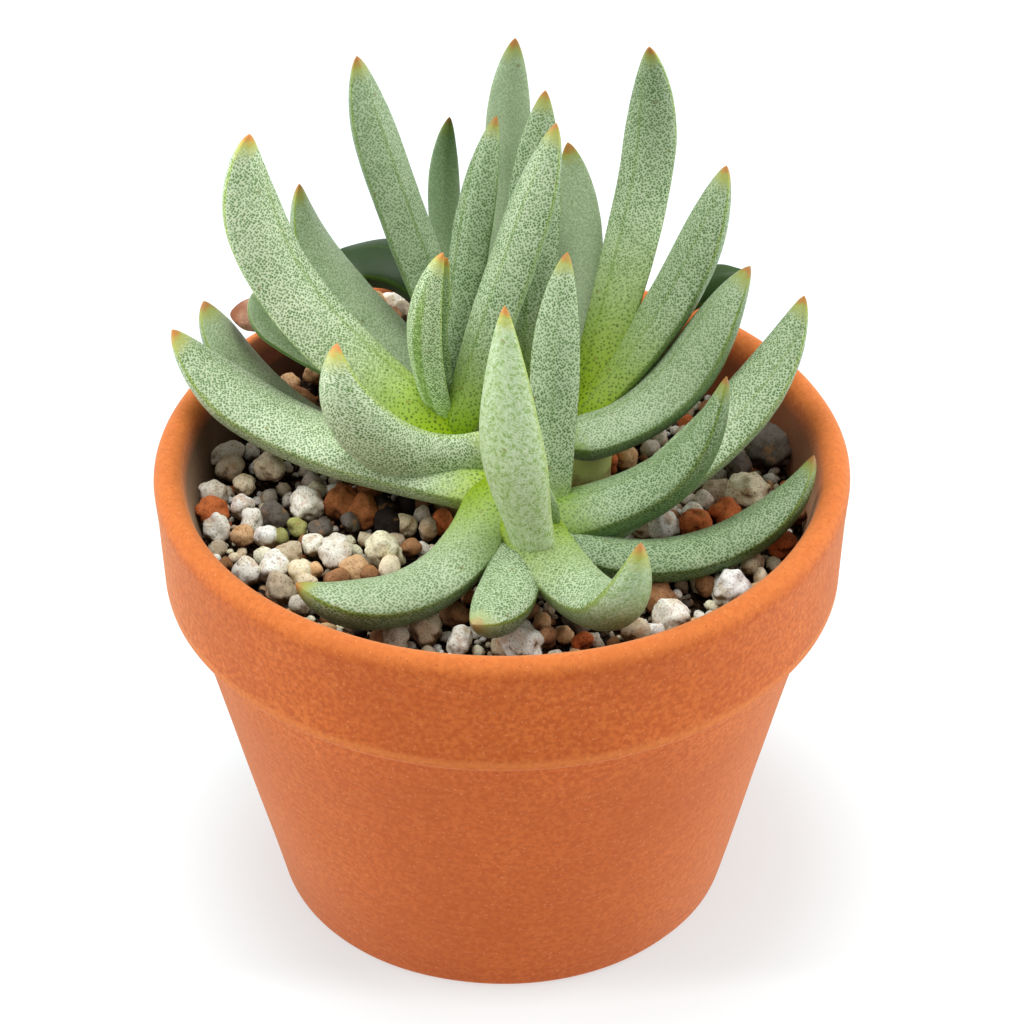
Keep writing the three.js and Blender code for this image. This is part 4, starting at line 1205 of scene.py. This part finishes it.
# %% Leaf table
LEAVES = {
    "leaf_front_upright": (
        238, 11, 6, 0.66, 2, (4.7, -23, 76), (2.4, -21.5, 86), (1.2, -21, 97), (0.5, -19.5, 114),
        dict(Shade=0.14, Wax=1.0, Keel=0.2, Lime=2.0)),
    "leaf_front_hooked": (
        296, 9.6, 7, 1, 1.2, (4, -18.5, 75.5), (8.5, -28, 74), (15, -36, 75), (19.5, -38, 86.5),
        dict(Shade=0.44, Wax=0.7, Line=0.0, Curls=1.0, Lime=14.0)),
    "leaf_front_inner": (
        84, 7.3, 5.5, 0.8, 2.4, (7, -13, 75), (7.5, -8, 86), (8, -3.5, 98), (9.5, 2.5, 109),
        dict(Shade=0.44, Line=0.15, Curls=0.3, Lime=7.0)),
    "leaf_front_to_right": (
        8, 10.2, 7.5, 1.1, 2, (8, -14.5, 74), (19, -12.5, 76.5), (27, -10.5, 82.5), (32.5, -9, 95),
        dict(Shade=0.68, Line=0.3, Curls=1.0)),
    "leaf_front_short": (
        -110, 9, 7.5, 0.9, 1.5, (2.5, -23.5, 73), (1, -31, 73), (-1, -37.5, 74), (-4, -43, 76),
        dict(Shade=0.46, Warmth=0.5, Line=0.0, Curls=1.0, Lime=2.0)),
    "leaf_front_low_left": (
        230, 9.2, 7.2, 0.95, 1.3, (-1, -11.5, 76), (-7, -25.5, 72.8), (-17.5, -32, 72.3),
        (-29.5, -31, 74.2), dict(Shade=0.5, Line=0.0, Curls=0.2, Lime=15.0, Dots=0.85)),
    "leaf_right_lowest": (
        5, 8.2, 6, 0.95, 2, (9, -19, 73), (24, -20.5, 70.5), (37.5, -13, 71.5), (46, -6, 79),
        dict(Shade=0.74, Line=0.0, Curls=0.8, Lime=3.0)),
    "leaf_right_low": (
        40, 10, 6.5, 0.8, 2.2, (14.5, -13.5, 72), (27, -3, 75.5), (38, 6.5, 82.5), (45, 12.5, 95),
        dict(Shade=0.4, Line=0.5, Ridge=2.0, Curls=1.0, Lime=5.0)),
    "young_leaf_front": (
        90, 2.6, 2, 0.8, 2, (7.5, -18.5, 74), (7.5, -19, 77), (7, -19.5, 80), (7, -20, 83),
        dict(Shade=0.4, Warmth=0.0, Lime=8.0)),
    "leaf_centre_long": (
        47, 7.9, 6, 0.8, 1.9, (-6.5, 5, 77), (-2, 9.5, 92), (3, 15, 105), (8, 20.5, 120),
        dict(Shade=0.38, Line=0.6, Curls=0.4, Lime=15.0)),
    "leaf_left_broad": (
        125, 9.8, 7, 0.78, 1.5, (-9.5, 5.5, 76), (-22.4, 12, 83.8), (-34.3, 17.3, 98), (-37, 19, 119),
        dict(Line=0.6, Ridge=3.0, Curls=0.5, Lime=18.0)),
    "young_leaf_outer": (
        235, 6.2, 3.2, 0.78, 2.6, (-9, 7.5, 77), (-11.3, 7, 86), (-11.2, 5.5, 97), (-8.5, 4, 108),
        dict(Keel=1.0, Line=1.0, Curls=0.8, Lime=6.0)),
    "young_leaf_inner": (
        60, 5, 2.5, 0.78, 1.9, (-8.2, 9, 77), (-10.2, 9.2, 86), (-10.2, 7.6, 96.5), (-8, 5, 106.5),
        dict(Shade=0.3, Line=0.3, Lime=6.0)),
    "leaf_left_hooked": (
        238, 11, 6.5, 0.8, 1.5, (-2, -1, 77), (-13.6, -2.5, 76.4), (-21.6, -3, 84.3), (-24, -1, 95.5),
        dict(Shade=0.08, Keel=0.0, Line=0.0, Curls=0.4, Lime=5.0)),
    "leaf_left_long": (
        156, 11.4, 7, 0.85, 1.5, (-3, -6.5, 74), (-20.5, 1, 74.3), (-36.5, 8.5, 77.2), (-49.5, 14, 88),
        dict(Shade=0.2, Line=0.0, Curls=0.8)),
    "leaf_left_low": (
        147, 7.2, 5, 0.8, 1.2, (-11, 2.5, 72.5), (-24.5, 11.5, 69.5), (-37, 18.5, 75.2),
        (-45.5, 25, 86), dict(Shade=0.5, Dots=0.5, Line=0.0, Curls=1.0, Lime=3.0)),
    "leaf_left_back_low": (
        161, 8.4, 5, 0.8, 1.1, (-12, 12, 76), (-24, 14, 82.9), (-32.6, 16.8, 87), (-37.6, 19.5, 91),
        dict(Shade=0.62, Dots=0.4, Warmth=0.0, Line=0.0, Curls=1.0, Lime=2.0)),
    "leaf_back_middle": (
        70, 6, 5, 0.85, 3, (-8, 11, 76), (-6.2, 14.5, 91), (-4, 20, 105), (-0.8, 26, 118),
        dict(Shade=0.56, Line=0.7, Ridge=-1.6, Curls=0.5, Lime=6.0)),
    "leaf_back_left_tall": (
        134, 8, 5.5, 0.78, 1.9, (-5.5, 15, 76), (-11, 21, 92.5), (-17, 27, 108), (-21.5, 31.5, 125),
        dict(Shade=0.56, Line=0.7, Curls=1.0, Lime=16.0, Dots=0.8)),
    "leaf_back_centre": (
        84, 8.2, 5.5, 0.8, 2.5, (2.8, 17.5, 74.5), (4, 22, 90), (5, 28, 104), (6.5, 33.5, 118),
        dict(Shade=0.46, Line=0.5, Curls=0.5, Lime=12.0)),
    "leaf_left_second": (
        151, 10, 6, 0.85, 1.8, (-9, 16, 75.5), (-18, 20.5, 83.5), (-26.5, 25.5, 91.5), (-30.5, 28, 105),
        dict(Shade=0.46, Dots=0.55, Line=0.0, Curls=1.0, Lime=4.0)),
    "leaf_back_tallest": (
        90, 6.8, 5, 0.85, 2.3, (1, 22.5, 74), (0.7, 31.5, 91), (0.8, 39.5, 106), (2, 44, 121),
        dict(Shade=0.56, Dots=0.35, Line=0.0, Curls=0.8, Lime=3.0)),
    "leaf_back_small": (
        95, 5, 4, 0.9, 3, (-5.5, 23.5, 74), (-8, 33, 86), (-9, 39.5, 97), (-8, 41, 109),
        dict(Shade=0.8, Dots=0.4, Line=0.0, Curls=0.8, Lime=2.0)),
    "leaf_back_left_dark": (
        160, 11, 6.5, 0.9, 1, (-4, 25, 75.5), (-12.3, 32, 87), (-19.7, 35.5, 87.2), (-26, 35.5, 87.2),
        dict(Shade=1.0, Warmth=0.0, Lime=1.0)),
    "leaf_right_tall": (
        69, 8.4, 6, 0.78, 2, (13, 12, 77), (18, 24.5, 90), (22, 35.5, 104), (22, 36, 124),
        dict(Shade=0.4, Line=0.55, Ridge=-1.4, Curls=0.5, Lime=24.0)),
    "leaf_right_broad": (
        28, 10.6, 7, 0.85, 1.8, (11.5, 3, 76), (23.5, 9, 78.5), (30.5, 13, 87), (37, 16, 98),
        dict(Shade=0.54, Dots=0.8, Line=0.5, Ridge=-1.3, Curls=0.4, Lime=3.0)),
    "leaf_right_middle": (
        36, 8.6, 6, 0.8, 2, (13, 10.5, 77), (22.5, 17.5, 85.5), (29, 22, 97), (33.5, 25, 110),
        dict(Shade=0.44, Line=0.5, Ridge=0.9, Curls=0.9, Lime=17.0)),
    "leaf_back_right_short": (
        95, 7.4, 5, 0.85, 2.1, (13, 16.5, 74), (12, 25, 85), (11.5, 33.5, 95), (10, 38.5, 106),
        dict(Shade=0.46, Dots=0.35, Line=0.0, Curls=1.0, Lime=3.0)),
    "leaf_back_right_dark": (
        38, 6, 4.6, 0.8, 1.7, (16, 15.5, 75), (25, 29, 82), (31.5, 30, 86), (37, 29, 89),
        dict(Shade=0.8, Warmth=0.0, Lime=1.0)),
    "old_dry_leaf": (
        174, 7.5, 4, 0.8, 0.6, (-12.5, 19.5, 73.5), (-23, 21.5, 79.3), (-33, 23, 84),
        (-41.5, 24.3, 84.2), dict()),
}
# the leaves that get the finish painted dark, as shade
DARK = ("leaf_back_left_dark", "leaf_back_right_dark")
LONGEST_TAPER, ROOT_SUNK, SEED_STEP = 0.7, 4.0, 7.3
ROLLS = {"leaf_left_broad": -22.0, "leaf_left_hooked": 60.0, "leaf_left_back_low": -20.0}


def control_points(points):
    """Bezier control points of the curve through four points at its thirds."""
    a, b, c, d = (np.array(p, float) for p in points)
    one = (-5 * a + 18 * b - 9 * c + 2 * d) / 6
    two = (2 * a - 9 * b + 18 * c - 5 * d) / 6
    return [tuple(map(float, p)) for p in (a, one, two, d)]


def sunk(points):
    """The same curve with its root run a little further back, into the stem."""
    a, b, c, d = (np.array(p, float) for p in points)
    back = (a - b) / np.linalg.norm(a - b)
    return [tuple(map(float, p)) for p in (a + ROOT_SUNK * back, b, c, d)]


def rough_length(points):
    return sum(math.dist(a, b) for a, b in zip(points, points[1:]))


def finish_name(node):
    if node.startswith("young"):
        return "young_leaf"
    if node == "old_dry_leaf":
        return "dry_leaf"
    return "dark_leaf" if node in DARK else "leaf"


print("leaves in the table:", len(LEAVES))

# %% [markdown]
# ## Growing the leaves
# The leaf tree now runs once for each entry of the table. Every leaf gets a seed of its own,
# so no two ripple alike, and its root is run on into the stem, so no gap opens there.

# %% Make the leaves
def make_leaf(node, number):
    outer, width, thick, root, taper, *points, own_look = LEAVES[node]
    start, one, two, stop = sunk(control_points(points))
    turn, roll = math.radians(outer), math.radians(ROLLS.get(node, 0.0))
    across = (-math.sin(turn) * math.cos(roll), math.cos(turn) * math.cos(roll), math.sin(roll))
    look = finish_name(node)
    empty = bpy.data.meshes.new(node + "_seed")
    piece = plain_piece(node + "_skin", empty, LEAF_TREE, {
        "Start": start, "Handle one": one, "Handle two": two, "End": stop, "Across": across,
        "Width": float(width), "Thickness": float(thick), "Root share": float(root),
        "Taper": min(LONGEST_TAPER, taper * width / rough_length(points)),
        "Seed": number * SEED_STEP, "Finish": LEAF_FINISHES[look], **own_look})
    dress(piece, look, node)
    return len(piece.data.polygons)


made = [make_leaf(node, number) for number, node in enumerate(LEAVES)]
print("leaves made:", len(made), "faces", sum(made))

# %% [markdown]
# ## The stems
# The leaves grow from four short stems, pale green above and brown where they enter the
# soil. Only glimpses show between the leaves. Each is a turned form that leans a little
# and swells at the head, where the leaf roots clasp it.

# %% Stems
STEMS = {  # foot, head, height of the top and radius
    "stem_left": ((-6, 2), (-7, 3), 75.5, 5.0),
    "stem_front": ((4.5, -15), (5, -17), 75.0, 5.2),
    "stem_right": ((12, 8), (12.5, 9), 76.0, 4.8),
    "stem_back": ((-2, 19), (-2, 20), 76.0, 5.6),
}
STEM_FOOT = 57.0
STEM_SHAPE = [(0, 0), (0.9, 0), (0.86, 0.3), (0.9, 0.6), (1.0, 0.85), (0.93, 0.95), (0.7, 1), (0, 1)]
PALE_STEM_TOP, BROWN_STEM_TOP = (71.5, 73.5), (66.0, 71.0)


def stem_finish():
    material, steps, shader, mm = finish("stem", roughness=0.6, specular=0.35)
    patches, z = mottled(steps, mm, 2.5, 2.0), steps.split(mm)[2]
    ragged_z = steps.plus(z, steps.times(patches, 4.0))
    colour = steps.coats(steps.mix(patches, paint(150, 186, 52), paint(176, 202, 84)), [
        (steps.soft(z, *PALE_STEM_TOP, 1.0, 0.0), paint(196, 212, 130)),
        (steps.soft(ragged_z, *BROWN_STEM_TOP, 1.0, 0.0), paint(122, 84, 52))])
    steps.feed(shader.inputs["Base Color"], colour)
    bumped(steps, shader, patches, 0.5, 0.3)
    return material


STEM = stem_finish()

for node, (foot, head, top, radius) in STEMS.items():
    tall = top - STEM_FOOT
    profile = filled([(r * radius, h * tall) for r, h in STEM_SHAPE], 1.0)
    lean = ((head[0] - foot[0]) / tall, (head[1] - foot[1]) / tall, 0.0)
    piece = turned(node + "_skin", profile, {"Around": 40, "Foot": (*map(float, foot), STEM_FOOT),
                                             "Lean": lean, "Warp": 0.4, "Warp size": 3.0,
                                             "Finish": STEM})
    dress(piece, "stem", node)
